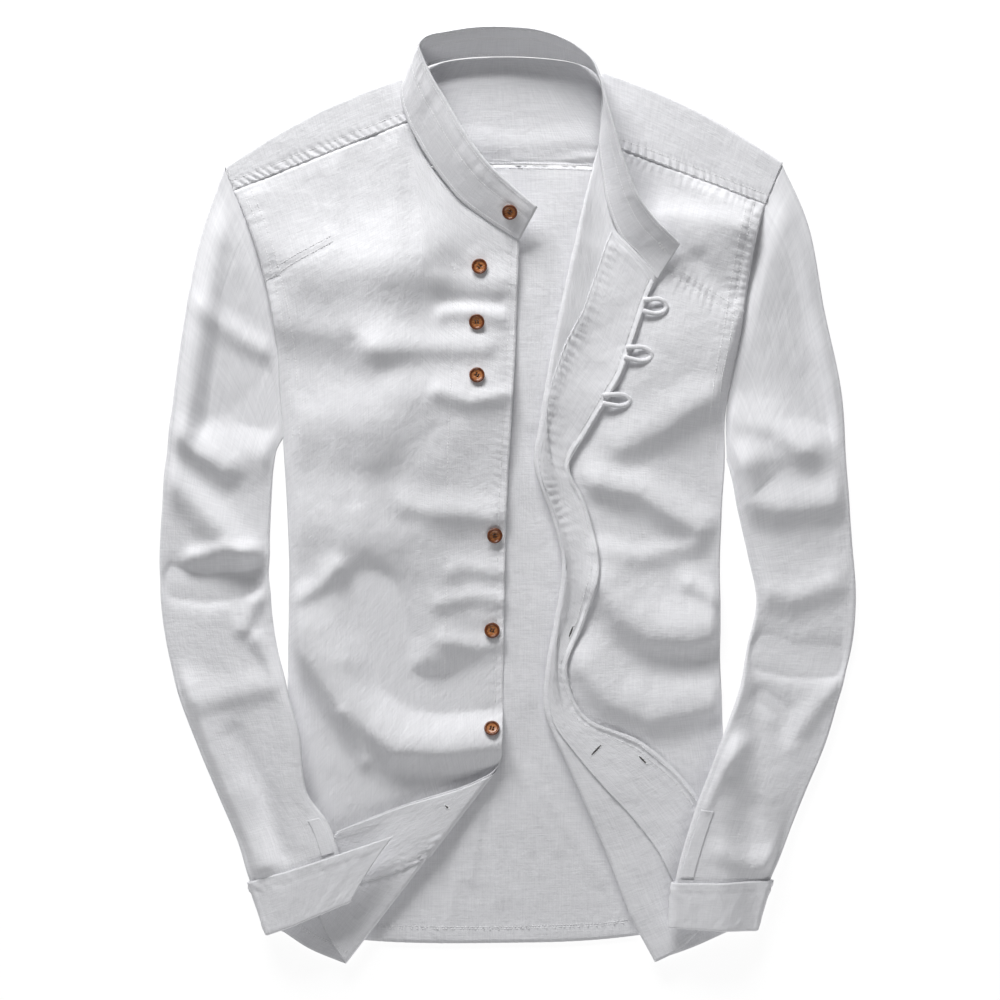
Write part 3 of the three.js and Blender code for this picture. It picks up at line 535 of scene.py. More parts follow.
def cloth_wall(name, grid, thickness, closed=False):
    """A closed wall round a grid of points, as a mesh object with a UV map in metres of cloth."""
    rows, cols = grid.shape[:2]
    normals = grid_normals(grid, closed)
    half = np.broadcast_to(np.asarray(thickness, float), (rows, cols))[..., None] / 2
    points = np.concatenate([(grid + normals * half).reshape(-1, 3), (grid - normals * half).reshape(-1, 3)])
    under = rows * cols
    across = np.arange(rows if closed else rows - 1)
    i, j = np.meshgrid(across, np.arange(cols - 1), indexing="ij")
    i, j, k = i.ravel(), j.ravel(), ((i + 1) % rows).ravel()
    a, b, c, d = i * cols + j, k * cols + j, k * cols + j + 1, i * cols + j + 1
    faces = [np.stack([a, b, c, d], 1), np.stack([a, d, c, b], 1) + under]
    e, f = across, (across + 1) % rows
    for edge, flip in ((0, False), (cols - 1, True)):
        p, q = (e, f) if flip else (f, e)
        p, q = p * cols + edge, q * cols + edge
        faces.append(np.stack([p, q, q + under, p + under], 1))
    if not closed:
        e, f = np.arange(cols - 1), np.arange(1, cols)
        for edge, flip in ((0, True), (rows - 1, False)):
            p, q = (e, f) if flip else (f, e)
            p, q = edge * cols + p, edge * cols + q
            faces.append(np.stack([p, q, q + under, p + under], 1))
    faces = np.concatenate(faces)
    mesh = bpy.data.meshes.new(name)
    mesh.from_pydata((points * MM).tolist(), [], faces.tolist())
    add_cloth_uv(mesh, grid, faces)
    orient_outward(mesh)
    mesh.polygons.foreach_set("use_smooth", [True] * len(mesh.polygons))
    mesh.update()
    piece = add_object(name, mesh)
    ALL_PIECES.append(piece)
    print(name, "faces", len(mesh.polygons))
    return piece


def add_cloth_uv(mesh, grid, faces):
    """Lengths along the cloth, across and down, measured through the middle of the grid."""
    rows, cols = grid.shape[:2]
    step = lambda cut: np.concatenate([[0], np.cumsum(np.linalg.norm(np.diff(cut, axis=0), axis=1))])
    lengths_u, lengths_v = step(grid[:, cols // 2]), step(grid[rows // 2])
    flat = np.stack(np.meshgrid(lengths_u, lengths_v, indexing="ij"), -1).reshape(-1, 2) * MM
    both = np.concatenate([flat, flat])
    layer = mesh.uv_layers.new(name="cloth")
    layer.data.foreach_set("uv", both[faces.ravel()].ravel())


def orient_outward(mesh):
    """Turns all faces over when the closed wall encloses a negative volume."""
    data = bmesh.new()
    data.from_mesh(mesh)
    if data.calc_volume(signed=True) < 0:
        bmesh.ops.reverse_faces(data, faces=data.faces)
    data.to_mesh(mesh)
    data.free()


# %% [markdown]
# ## Puckered seams
#
# A seam that is sewn and washed draws up: the cloth beside it ripples across the stitching, strongly at
# the stitches and not at all a finger's width away. The ripples come every 6.5 mm, and none is like the
# next. The same call presses a shallow groove along the line of the stitches.

# %% Pucker helper
def along_path(x, y, path):
    """Distance to a path in plan, length along it and the side it is on, for arrays of places."""
    best = np.full(np.shape(x), 1e9)
    run, side = np.zeros(np.shape(x)), np.zeros(np.shape(x))
    walked = 0.0
    for (x0, y0), (x1, y1) in zip(path[:-1], path[1:]):
        dx, dy = x1 - x0, y1 - y0
        length = math.hypot(dx, dy)
        t = np.clip(((x - x0) * dx + (y - y0) * dy) / (length * length), 0, 1)
        distance = np.hypot(x - x0 - dx * t, y - y0 - dy * t)
        nearer = distance < best
        best = np.where(nearer, distance, best)
        run = np.where(nearer, walked + t * length, run)
        side = np.where(nearer, np.sign(dx * (y - y0) - dy * (x - x0)), side)
        walked += length
    return best, run, side


def pucker(x, y, path, seed, reach=8.0, rise=0.9, groove=0.35, ripple=6.5, slant=0.0):
    distance, run, side = along_path(x, y, path)
    level = np.zeros_like(run) + seed * 7.3
    lean = slant + 0.5 * rumple(run, level, ripple * 4, seed + 2)
    turns = (run + lean * side * distance) / ripple + 0.6 * rumple(run, level, ripple * 2.2, seed)
    wave = np.sin(2 * math.pi * turns) * (0.7 + 0.35 * rumple(run, level, ripple * 2.5, seed + 1))
    swell = smooth(0, 2.2, distance) * np.exp(-(distance / reach) ** 2)
    return rise * wave * swell - groove * np.exp(-(distance / 1.2) ** 2)


# %% [markdown]
# ## Back panel and yoke
#
# The back lies flat, with its inside up. It shows between the fronts and below them. The yoke is one
# piece: it comes over each shoulder from the front seam, turns under in a soft fold and runs across the
# back below the collar.

# %% Back panel
def back_panel():
    yoke_edge = by_row(column(YOKE_BACK_ROWS, 2))
    seam = lambda u: yoke_edge(mix(1, 7, np.asarray(u, float)) / 8) + np.array([0, -BACK_SEAM_GAP, 0])
    right = [tuple(seam(0)[0]), *BACK_SIDES["right"][1:]]
    left = [tuple(seam(1)[0]), *BACK_SIDES["left"][1:]]
    hem = [right[-1], *BACK_HEM[1:-1], left[-1]]
    outline = patch(seam, by_length(hem), by_length(right), by_length(left))
    grid = outline(shares(150), shares(190))
    x, y = grid[..., 0], grid[..., 1]
    hem_line = [(px, py + 11) for px, py in BACK_HEM]
    yoke_line = [(px, py - 3) for px, py in column(YOKE_BACK_ROWS, 2)[1:8]]
    shape = fold_rise(BACK_CREASES, x, y) + 0.45 * small_rumples(x, y, 31)
    shape = shape + pucker(x, y, hem_line, 3, reach=9, rise=1.4, slant=1.3)
    shape = shape + pucker(x, y, yoke_line, 4, reach=8, slant=1.2)
    grid[..., 2] = GROUND_HEIGHT + np.maximum(shape + 0.6, 0)
    distance, *_ = along_path(x, y, BACK_HEM)
    return cloth_wall("back_panel_cloth", grid, CLOTH * (CLOTH_SCALE + 0.5 * (distance < 10.5)))


# %% Yoke
# Columns: rise, width above the line, width below it, line.
YOKE_CREASES = [
    (4.0, 8, 44, [(-46, 324), (0, 329), (52, 324)]), (1.6, 10, 10, [(-30, 282), (20, 279), (60, 283)]),
]


def yoke():
    angles = np.radians([5, 20, 35, 50, 70, 90, 110, 130, 150, 175])
    t = shares(130)[:, None]

    def shoulder(side, away):
        neck_seam, arm_seam, neck_fold, arm_fold = (np.array(p, float) for p in YOKE_SHOULDERS[side])
        out = np.array([away * 0.36, 0.93])

        def row(neck, arm, shift, bow, height):
            bulge = shift + SHOULDER_BOW * bow * np.sin(np.pi * t)
            return np.column_stack([neck + (arm - neck) * t * ARM_EASE + out * bulge, np.full(len(t), height)])

        flat = []
        for share in np.linspace(0, 1, 26):
            neck, arm = mix(neck_seam, neck_fold, share), mix(arm_seam, arm_fold, share)
            shift = mix(-0.2, -SHOULDER_RADIUS, share)
            flat.append(row(neck, arm, shift, share, SHOULDER_HEIGHT))
        turned = [row(neck_fold, arm_fold, SHOULDER_RADIUS * (math.sin(a) - 1), 1,
                      GROUND_HEIGHT + SHOULDER_RADIUS * (1 + math.cos(a))) for a in angles]
        return flat + turned

    neck, outer = by_row(column(YOKE_BACK_ROWS, 0)), by_row(column(YOKE_BACK_ROWS, 2))
    back = []
    for s in shares(64):
        start, finish = neck(s)[0], outer(s)[0]
        place = start + (finish - start) * t
        back.append(np.column_stack([place[:, :2], np.full(len(t), GROUND_HEIGHT)]))
    grid = np.array(shoulder("right", -1) + back + shoulder("left", 1)[::-1])
    x, y = grid[..., 0], grid[..., 1]
    on_top = smooth(GROUND_HEIGHT + SHOULDER_RADIUS, SHOULDER_HEIGHT, grid[..., 2])
    front_seams = [YOKE_SHOULDERS["right"][:2], YOKE_SHOULDERS["left"][:2]]
    ripple = sum(pucker(x, y, [(a[0], a[1]), (b[0], b[1])], 5 + k, reach=7, rise=1.2, groove=0, slant=0.5)
                 for k, (a, b) in enumerate(front_seams))
    from_seams = [along_path(x, y, seam)[0] for seam in front_seams]
    ripple = ripple - 0.3 * sum(np.exp(-((distance - 7.6) / 1.2) ** 2) for distance in from_seams)
    under = pucker(x, y, [(px, py + 3) for px, py in column(YOKE_BACK_ROWS, 2)[1:8]], 8, rise=1.4)
    under = under + crease_rise(YOKE_CREASES, x, y)
    above = ripple + 0.7 * small_rumples(x, y, 41)
    below = np.maximum(under + 0.6 * small_rumples(x, y, 42) + 0.5, 0)
    grid[..., 2] += on_top * above + (1 - on_top) * below
    return cloth_wall("yoke_cloth", grid, CLOTH * CLOTH_SCALE)


back_piece = back_panel()
yoke_piece = yoke()

# %% [markdown]
# ## Right front
#
# The right front carries the buttons. Its bottom corner is turned up over a soft roll. A row of the turned
# part is a line parallel to the fold, at a distance measured over the cloth, so the cloth keeps its length
# as it goes round the roll.

# %% Right front surface
def right_upper():
    below = lambda p: (p[0], p[1] - 0.5)
    side = [below(RIGHT_SIDE[0]), *RIGHT_SIDE[1:]]
    neck = [below(RIGHT_NECK[0]), *RIGHT_NECK[1:]]
    top = joined(line(side[0], neck[0]), by_length(neck), RIGHT_NECK_SHARE)
    outside = joined(by_length(side), by_length(RIGHT_HEM), RIGHT_SIDE_SHARE)
    return patch(top, line(RIGHT_HEM[-1], RIGHT_EDGE[-1]), outside, by_length(RIGHT_EDGE))


class TurnedCorner:
    """The corner beyond the fold line. lift puts a layer outside the roll."""

    def __init__(self):
        self.start = np.array((*RIGHT_HEM[-1], 0.0))
        run = np.array((*RIGHT_EDGE[-1], 0.0)) - self.start
        self.along = run / np.linalg.norm(run)
        self.out = np.array([self.along[1], -self.along[0], 0.0])
        steps = np.linspace(0, 1, 801)
        self.hem, self.edge = by_length(CORNER_HEM)(steps), by_length(CORNER_EDGE)(steps)
        self.tip = float(self.beyond(self.edge[-1:])[0])

    def beyond(self, places):
        return (places - self.start) @ self.out

    def ends(self, distance):
        return [path[np.argmax(self.beyond(path) >= distance)] for path in (self.hem, self.edge)]

    def row_length(self, distance):
        start, finish = self.ends(distance)
        return float(np.linalg.norm(finish - start))

    def row(self, distance, u, lift=0.0, fine=True):
        start, finish = self.ends(distance)
        flat = start + (finish - start) * np.asarray(u, float)[:, None]
        radius = ROLL_RADIUS + lift
        angle = min(distance / ROLL_RADIUS, math.pi)
        past = max(0.0, distance - math.pi * ROLL_RADIUS)
        place = flat + self.out * (radius * math.sin(angle) - past - distance)
        height = front_height(place[:, 0], place[:, 1], fine) + ROLL_RADIUS - radius * math.cos(angle)
        place[:, 2] = height
        return place


corner = TurnedCorner()
ROLL_ROWS = ROLL_RADIUS * np.radians([15, 30, 45, 60, 75, 90, 105, 120, 135, 150, 165, 180])
print("the turned-up corner reaches", round(corner.tip), "mm past its fold")


# %% Right front cloth
# FACING_PRESS is how much closer than in the frame a facing lies, FACING_END where it stops short of the edge.
FACING_PRESS = 0.25
FACING_END = 0.985
YOKE_SEAM_RIGHT = [(-218, 243), (-79, 298)]
ARM_BAND_RIGHT = [(-209, 240), (-198, 214), (-188, 183), (-180, 148), (-175, 112), (-173, 76), (-171, 46)]
FRONT_STITCH_RIGHT = [(4, 196), (2, 150), (0, 100), (-3, 50), (-6, -4), (-8, -84), (-9, -164), (-10, -204)]
CHEST_SEAM_RIGHT = [(-191, 170), (-164, 186), (-138, 200)]
FACING_STITCH_RIGHT = [(-42, 180), (-44, 100), (-47, 40), (-48, -60), (-50, -150)]


def meet_yoke(x, y, height, seam):
    """Brings a front up to the height of the yoke along the seam between them."""
    distance, *_ = along_path(x, y, seam)
    return mix(SHOULDER_HEIGHT, height, smooth(0.5, 9, distance))


def right_front_ripples(x, y):
    shape = pucker(x, y, YOKE_SEAM_RIGHT, 12, reach=9, rise=0.9, groove=0.2)
    shape = shape + smooth(100, 190, y) * pucker(x, y, ARM_BAND_RIGHT, 13, reach=8, rise=0.8, groove=0.5)
    shape = shape + pucker(x, y, FRONT_STITCH_RIGHT, 14, reach=6, rise=0.35, groove=0.45)
    shape = shape + pucker(x, y, CHEST_SEAM_RIGHT, 15, reach=8, rise=0.6, groove=0.9, slant=0.6)
    return shape + pucker(x, y, FACING_STITCH_RIGHT, 16, reach=9, rise=0.15, groove=0.2)


def front_right():
    upper = right_upper()(shares(132), shares(250))
    x, y = upper[..., 0], upper[..., 1]
    upper[..., 2] = meet_yoke(x, y, front_height(x, y), YOKE_SEAM_RIGHT) + right_front_ripples(x, y)
    rest = np.linspace(math.pi * ROLL_RADIUS, corner.tip - 3, 36)[1:]
    rows = [corner.row(distance, shares(132)) for distance in [*ROLL_ROWS, *rest]]
    grid = np.concatenate([upper, np.array(rows).transpose(1, 0, 2)], axis=1)
    return cloth_wall("front_right_cloth", grid, CLOTH * CLOTH_SCALE)


def facing_right():
    rest = np.linspace(math.pi * ROLL_RADIUS, corner.tip - 8, 34)[1:]
    grid = []
    for distance in [*ROLL_ROWS[3:], *rest]:
        bare = max(0.04, 1 - CORNER_FACING_REACH / corner.row_length(distance))
        grid.append(corner.row(distance, mix(bare, FACING_END, shares(36)), FACING_LIFT - FACING_PRESS))
    grid = np.array(grid)
    x, y = grid[..., 0], grid[..., 1]
    edge = [(px, py) for px, py, _ in grid[::4, 3]]
    grid[..., 2] += pucker(x, y, edge, 18, reach=9, rise=0.9, groove=0.3, slant=0.6)
    past_roll = np.arange(len(grid)) >= len(ROLL_ROWS) - 3
    grid[..., 2] -= 0.5 * past_roll[:, None] * (1 - smooth(0, 4, np.arange(grid.shape[1])))[None]
    return cloth_wall("facing_right_cloth", grid, FACING_CLOTH * CLOTH_SCALE)


front_right_piece = front_right()
facing_right_piece = facing_right()

# %% [markdown]
# ## Left front
#
# The left front is rolled outward all the way down, like a lapel. Its surface runs from the side seam to
# the roll, round it, and back over itself to the front edge. The facing lies on the part that is turned
# over, and is as wide as the buttonhole band of a real shirt.

# %% Left front surface
FLAP_REST = 1.5
FLAP_SINK = 0.85


class LeftFront:
    def __init__(self):
        self.rolls = by_length(column(LEFT_ROWS, 2))
        below = lambda p: (p[0], p[1] - 0.5)
        start, finish = self.roll_inset(np.array([0.0]))[0], self.roll_inset(np.array([1.0]))[0]
        start_place, finish_place = (start[0], start[1] - 0.5), (finish[0], finish[1])
        sides = column(LEFT_ROWS, 0)
        side = by_length([below(sides[0]), *sides[1:]])
        self.under_patch = patch(line(below(sides[0]), start_place),
                                 by_length([*LEFT_HEM[:-1], finish_place]), side, self.roll)
        self.flap_patch = patch(by_length([start_place, *LEFT_NECK[1:]]),
                                by_length([finish_place, *LEFT_FLAP_HEM[1:]]),
                                self.roll, by_length(column(LEFT_ROWS, 4)))

    def radius(self, v):
        return mix(ROLL_RADIUS_AT_NECK, ROLL_RADIUS, smooth(0, 0.16, v))

    def inward(self, v):
        ahead = self.rolls(np.minimum(v + 0.01, 1)) - self.rolls(np.maximum(v - 0.01, 0))
        normal = np.column_stack([-ahead[:, 1], ahead[:, 0], np.zeros(len(ahead))])
        return normal / np.linalg.norm(normal, axis=1, keepdims=True)

    def roll_inset(self, v):
        return self.rolls(v) + self.inward(v) * self.radius(v)[:, None]

    def roll(self, v):
        v = np.atleast_1d(np.asarray(v, float))
        return self.roll_inset(v) + np.array([0, -0.5, 0]) * (1 - v)[:, None]

    def under(self, u, v):
        grid = self.under_patch(u, v)
        grid[..., 2] = front_height(grid[..., 0], grid[..., 1])
        return grid

    def turn(self, angles, v):
        rows = []
        for angle in angles:
            place = self.roll(v) - self.inward(v) * (self.radius(v) * math.sin(angle))[:, None]
            place[:, 2] = front_height(place[:, 0], place[:, 1]) + self.radius(v) * (1 - math.cos(angle))
            rows.append(place)
        return np.array(rows)

    def over(self, u, v):
        """Height of the flap over the panel: the full roll at the fold, and close to it at the edge."""
        return mix(2 * self.radius(v), FLAP_REST, smooth(0.1, 0.95, u) * FLAP_SINK)

    def flap(self, u, v):
        grid = self.flap_patch(u, v)
        over = self.over(np.atleast_1d(u)[:, None], v)
        grid[..., 2] = front_height(grid[..., 0], grid[..., 1]) + over
        return grid


left_shape = LeftFront()

# %% Left front cloth
YOKE_SEAM_LEFT = [(206, 232), (74, 282)]
ARM_BAND_LEFT = [(197, 232), (190, 204), (184, 168), (178, 128), (171, 94), (167, 60), (168, 28)]
CHEST_SEAM_LEFT = [(186, 142), (160, 158), (128, 179)]


def left_front_ripples(x, y):
    shape = pucker(x, y, YOKE_SEAM_LEFT, 22, reach=9, rise=0.8, groove=0.2)
    shape = shape + smooth(100, 160, y) * pucker(x, y, ARM_BAND_LEFT, 23, reach=8, rise=0.9, groove=0.6)
    return shape + pucker(x, y, CHEST_SEAM_LEFT, 24, reach=8, rise=0.6, groove=0.9)


def front_left():
    down = shares(290)
    under = left_shape.under(shares(84), down)
    x, y = under[..., 0], under[..., 1]
    under[..., 2] = meet_yoke(x, y, under[..., 2], YOKE_SEAM_LEFT) + left_front_ripples(x, y)
    turn = left_shape.turn(np.radians([18, 36, 54, 72, 90, 108, 126, 144, 162]), down)
    flap = left_shape.flap(shares(24), down)
    return cloth_wall("front_left_cloth", np.concatenate([under, turn, flap]), CLOTH * CLOTH_SCALE)


def facing_left():
    """The facing takes, in each row of a very fine flap, the points between its bare share and its end."""
    steps = 400
    rows = np.clip(shares(260), 0.008, 0.985)
    bare = np.interp(rows, *zip(*LEFT_FACING_BARE))
    flap = left_shape.flap_patch(shares(steps), rows)
    nearest = [(mix(bare, FACING_END, share) * steps).round().astype(int) for share in shares(44)]
    grid = np.array([flap[np.clip(row, 0, steps), np.arange(len(rows))] for row in nearest])
    x, y = grid[..., 0], grid[..., 1]
    across = mix(bare[None], FACING_END, shares(44)[:, None])
    grid[..., 2] = front_height(x, y) + left_shape.over(across, rows) + FACING_LIFT - FACING_PRESS
    edge = [tuple(p[:2]) for p in grid[-3, ::6]]
    inner = [tuple(p[:2]) for p in grid[2, ::6]]
    from_edge, *_ = along_path(x, y, [tuple(p[:2]) for p in grid[-1, ::4]])
    ridge, dip = np.exp(-((from_edge - 1.7) / 1.1) ** 2), np.exp(-((from_edge - 4.2) / 1.0) ** 2)
    grid[..., 2] += 0.75 * ridge - 0.3 * dip
    grid[..., 2] += pucker(x, y, edge, 25, reach=6, rise=0.5, groove=0)
    high = 1 - smooth(0.35, 0.5, rows)[None]
    grid[..., 2] += mix(0.25, 1, high) * pucker(x, y, inner, 26, reach=11, rise=1.3, groove=0.3)
    grid[..., 2] += 0.5 * small_rumples(x, y, 27)
    return cloth_wall("facing_left_cloth", grid, FACING_CLOTH * (CLOTH_SCALE + 0.2))


front_left_piece = front_left()
facing_left_piece = facing_left()

# %% [markdown]
# ## Collar band
#
# A mandarin collar is a plain band, two layers of cloth with a stiffener between. It stands at the back of
# the neck with its inside showing and lies over towards its two ends.

# %% Collar band
COLLAR_COLUMNS = 260


def collar_grid(u, v):
    rows = np.array(COLLAR_ROWS, float)
    height = front_height(rows[:, 0], rows[:, 1], fine=False) + rows[:, 2]
    seam = by_row(np.column_stack([rows[:, 0], rows[:, 1], height]).tolist())
    top = by_row(np.column_stack([rows[:, 3], rows[:, 4], height + rows[:, 5]]).tolist())
    low, high = seam(u), top(u)
    lean = np.linalg.norm((high - low)[:, :2], axis=1) / np.linalg.norm(high - low, axis=1)
    lift = CLOTH / 2 + SEAM_GAP + COLLAR_EASE + BAND_CLOTH / 2 * lean
    share = np.asarray(v, float)[None, :, None]
    grid = low[:, None] * (1 - share) + high[:, None] * share
    grid[..., 2] += lift[:, None]
    return grid


def collar_band():
    u, v = shares(COLLAR_COLUMNS), shares(26)
    grid = collar_grid(u, v)
    run = u[:, None] * 560 + 0 * v[None]
    up = v[None] * 34 + 0 * u[:, None]
    wave = 0.8 * rumple(run, up, 26, 51) + 0.3 * rumple(run, up * 0.4, 9, 52)
    groove = 0.3 * np.exp(-((up - 29.5) / 0.9) ** 2) + 0.3 * np.exp(-((up - 3.5) / 0.9) ** 2)
    normals = grid_normals(grid, False)
    upward = np.where(normals[..., 2:] >= 0, 1, -1)
    turned = smooth(0.0, 0.06, u) * (1 - smooth(0.22, 0.3, u))
    drop = 1.7 * turned[:, None] * smooth(0.62, 1, v)[None] + 0.35 * np.exp(-((v[None] - 0.62) / 0.04) ** 2)
    ripple = 0.5 * rumple(run, 0 * up, 3.4, 53) * np.exp(-((up - 27) / 5) ** 2)
    wave = (wave + ripple) * np.sin(np.pi * np.clip(v, 0.06, 0.94))[None] - drop
    grid = grid + normals * upward * wave[..., None]
    return cloth_wall("collar_band_cloth", grid, BAND_CLOTH * 0.8 - 1.2 * groove)


collar_piece = collar_band()

# %% [markdown]
# ## Sleeves and cuffs
#
# A sleeve is a flattened tube. Its section is two nearly flat layers joined by two round ends. It rests
# beside the body at the top, and its inner side climbs over the body further down. The cuffs are turned
# back: the wall goes down inside, round the bottom and up again on the outside.

# %% Sleeve surface
SLEEVE_CAP = 10.0
SLEEVE_RIDGES = {1.0: ((222, 232), (266, 36)), -1.0: ((-220, 224), (-250, 44))}


class Sleeve:
    def __init__(self, side):
        rows = SLEEVE_ROWS[side]
        self.outer, self.inner = by_row(column(rows, 0)), by_row(column(rows, 2))
        self.hole = by_length(ARMHOLES[side])
        self.away = math.copysign(1, rows[0][0])

    def across(self, t, w):
        outer, inner = self.outer(t)[None], self.inner(t)[None]
        share = w[..., None]
        straight = outer + (inner - outer) * share
        first_outer, first_inner = self.outer(0)[None], self.inner(0)[None]
        shape = w.shape
        hole = self.hole(np.clip(w, 0, 1).ravel()).reshape(*shape, 3)
        bow = hole - (first_outer + (first_inner - first_outer) * share)
        return straight + bow * (1 - smooth(0, 0.3, t))[None, :, None]

    def layer(self, t, w, up, grow=0.0, fine=True):
        place = self.across(t, w)
        x, y = place[..., 0], place[..., 1]
        climb = smooth(-26, 8, BODY_HALF_WIDTH - np.abs(x)) * (1 - smooth(-170, -100, y))
        cuff_lift = (2 * CUFF_RADIUS + (CUFF_CLOTH - CLOTH) / 2) * smooth(0.8, 0.93, t)
        low = GROUND_HEIGHT + CLIMB_OVER_BODY * climb + cuff_lift
        width = np.clip(w, 0, 1)
        swell = SLEEVE_BULGE * smooth(0.02, 0.2, t) * np.sin(np.pi * width)
        fade = smooth(0, 0.1, w) * smooth(0, 0.1, 1 - w) * smooth(0.03, 0.12, t) * (1 - smooth(0.86, 0.92, t))
        gap = mix(mix(2 * SHOULDER_RADIUS, 1.7, w), SLEEVE_GAP, smooth(0, 0.16, t))
        high = low + gap + swell + (0.25 if fine else 1) * fade * fold_rise(SLEEVE_FOLDS, x, y)
        if fine:
            soft = smooth(0, 0.14, w) * smooth(0, 0.14, 1 - w)
            soft = soft * smooth(0.0, 0.05, t) * (1 - smooth(0.9, 0.95, t))
            shape = RELIEF * crease_rise(SLEEVE_CREASES, x, y) + small_rumples(x, y, 61)
            high = high + np.maximum(soft * (shape + self.hollow(x, y)), 1.2 - gap)
        place[..., 2] = high + grow if up else low - grow
        return place

    def hollow(self, x, y):
        """The full cap of the sleeve, and the three-cornered hollow between its ridge and the armhole."""
        (x0, y0), (x1, y1) = SLEEVE_RIDGES[self.away]
        beyond = ((x - x0) * (y1 - y0) - (y - y0) * (x1 - x0)) / math.hypot(x1 - x0, y1 - y0)
        inner = smooth(-7, 7, self.away * beyond)
        full = SLEEVE_CAP * smooth(-10, 60, y)
        deep = SLEEVE_CAP * 1.25 * np.clip((226 - y) / 170, 0, 1) * smooth(26, 66, y)
        return full - inner * deep

    def ring(self, t, grow=0.0, across=30, bend=9, fine=True):
        """Grid of whole rings: lower layer, inner end, upper layer, outer end."""
        t = np.atleast_1d(np.asarray(t, float))
        inset = mix(0.014, 0.036, smooth(0, 0.2, t))
        flats = inset[None] + (1 - 2 * inset)[None] * shares(across)[:, None]
        low, high = self.layer(t, flats, False, grow, fine), self.layer(t, flats, True, grow, fine)
        out = self.outer(t) - self.inner(t)
        out[:, 2] = 0
        out = out / np.linalg.norm(out, axis=1, keepdims=True)

        def end(index, direction):
            a, b = low[index], high[index]
            radius = (b[:, 2] - a[:, 2]) / 2
            rows = []
            for angle in np.radians(np.linspace(-80, 80, bend)):
                place = (a + b) / 2 + direction * out * (radius * math.cos(angle))[:, None]
                place[:, 2] += radius * math.sin(angle)
                rows.append(place)
            return np.array(rows)

        inner_end, outer_end = end(-1, -1), end(0, 1)
        return np.concatenate([low, inner_end, high[::-1], outer_end[::-1]])

    def down(self):
        step = self.outer(1) + self.inner(1) - self.outer(0.95) - self.inner(0.95)
        step[:, 2] = 0
        return step[0] / np.linalg.norm(step[0])


# %% Sleeves
def sleeve(side):
    shape = Sleeve(side)
    grid = shape.ring(np.linspace(0, SLEEVE_END, 220), across=44)
    return cloth_wall(f"sleeve_{side}_cloth", grid, CLOTH * CLOTH_SCALE, closed=True)


def cuff_rows():
    """Where each row of a turned-back cuff lies: place along the sleeve, growth and drop."""
    inside = [(t, 0.0, 0.0) for t in np.linspace(CUFF_SEAM, CUFF_TURN, 7)]
    bottom = [(CUFF_TURN, CUFF_RADIUS * (1 - math.cos(a)), CUFF_RADIUS * math.sin(a))
              for a in np.radians(np.linspace(15, 165, 9))]
    outside = [(t, 2 * CUFF_RADIUS, 0.0) for t in np.linspace(CUFF_TURN, CUFF_TOP, 24)]
    return inside + bottom + outside


def cuff_texture(grid, seed, closed):
    """Small waves over a cuff, and the groove of the stitches below its free edge."""
    rows, cols = grid.shape[:2]
    run = np.arange(rows)[:, None] * 2.4 + np.zeros((1, cols))
    down = np.arange(cols)[None] * 1.7 + np.zeros((rows, 1))
    outside = smooth(16, 20, np.arange(cols))[None]
    wave = 0.45 * rumple(run, down, 24, seed) + 0.2 * rumple(run, down * 0.5, 8, seed + 1)
    from_top = (cols - 1 - np.arange(cols))[None] * 1.7
    near_top, near_bottom = np.exp(-((from_top - 6) / 5) ** 2), np.exp(-((from_top - 38) / 6) ** 2)
    wave = wave + 1.3 * rumple(run + 1.2 * down, 0 * down, 4.4, seed + 2) * near_top
    wave = wave + 0.6 * rumple(run - 1.1 * down, 0 * down, 5.0, seed + 3) * near_bottom
    wave = wave * outside * (1 - 0.5 * smooth(cols - 6, cols, np.arange(cols))[None])
    normals = grid_normals(grid, closed)
    upward = np.where(normals[..., 2:] >= 0, 1, -1)
    grid = grid + normals * upward * np.maximum(wave, -0.2)[..., None]
    return grid, CUFF_CLOTH * (0.8 - 0.3 * np.exp(-((from_top - 9) / 1.6) ** 2) * outside)


def cuff_left():
    shape = Sleeve("left")
    rows = [shape.ring(t, grow, across=52, fine=False)[:, 0] + shape.down() * drop
            for t, grow, drop in cuff_rows()]
    grid, thickness = cuff_texture(np.array(rows).transpose(1, 0, 2), 71, closed=True)
    return cloth_wall("cuff_left_cloth", grid, thickness, closed=True)


def cuff_right():
    shape = Sleeve("right")
    rows = []
    for t, grow, drop in cuff_rows():
        at = np.array([t])
        reach = mix(0.99, CUFF_FLARE, max(0, CUFF_TURN - t) / (CUFF_TURN - CUFF_TOP))
        inset = float(mix(0.014, 0.036, smooth(0, 0.2, t)))
        lower = shape.layer(at, mix(0.94, inset, shares(34))[:, None], False, grow, fine=False)[:, 0]
        upper = shape.layer(at, mix(inset, reach, shares(64))[:, None], True, grow, fine=False)[:, 0]
        ring = shape.ring(at, grow, fine=False)[:, 0]
        rows.append(np.concatenate([lower, ring[-9:][::-1], upper]) + shape.down() * drop)
    grid, thickness = cuff_texture(np.array(rows).transpose(1, 0, 2), 75, closed=False)
    return cloth_wall("cuff_right_cloth", grid, thickness)


def placket(side):
    shape = Sleeve(side)
    t = np.linspace(0.83, CUFF_TOP - 0.006, 44)
    w = np.broadcast_to(np.linspace(0.82, 0.95, 14)[:, None], (14, 44))
    grid = shape.layer(t, w, True)
    grid[..., 2] += CLOTH / 2 + 0.08
    return cloth_wall(f"placket_{side}_cloth", grid, FACING_CLOTH * CLOTH_SCALE)


for side in ("right", "left"):
    sleeve(side)
cuff_right()
cuff_left()
for side in ("right", "left"):
    placket(side)

# %% [markdown]
# ## Stitches
#
# A lockstitch is a row of short threads lying in line, each sunk a little at its ends. One Geometry Nodes
# tree lays a small bead every 2.4 mm along any line, turned to follow it. Lines are given in plan and
# dropped on the cloth below them by a ray, so that they follow every crease. A buttonhole is an oval of the
# same stitches round a dark lens of painted shadow for its slit, which lies on the cloth.

# %% Lines on the cloth
STITCH_LIFT = 0.1
SURFACES = {}


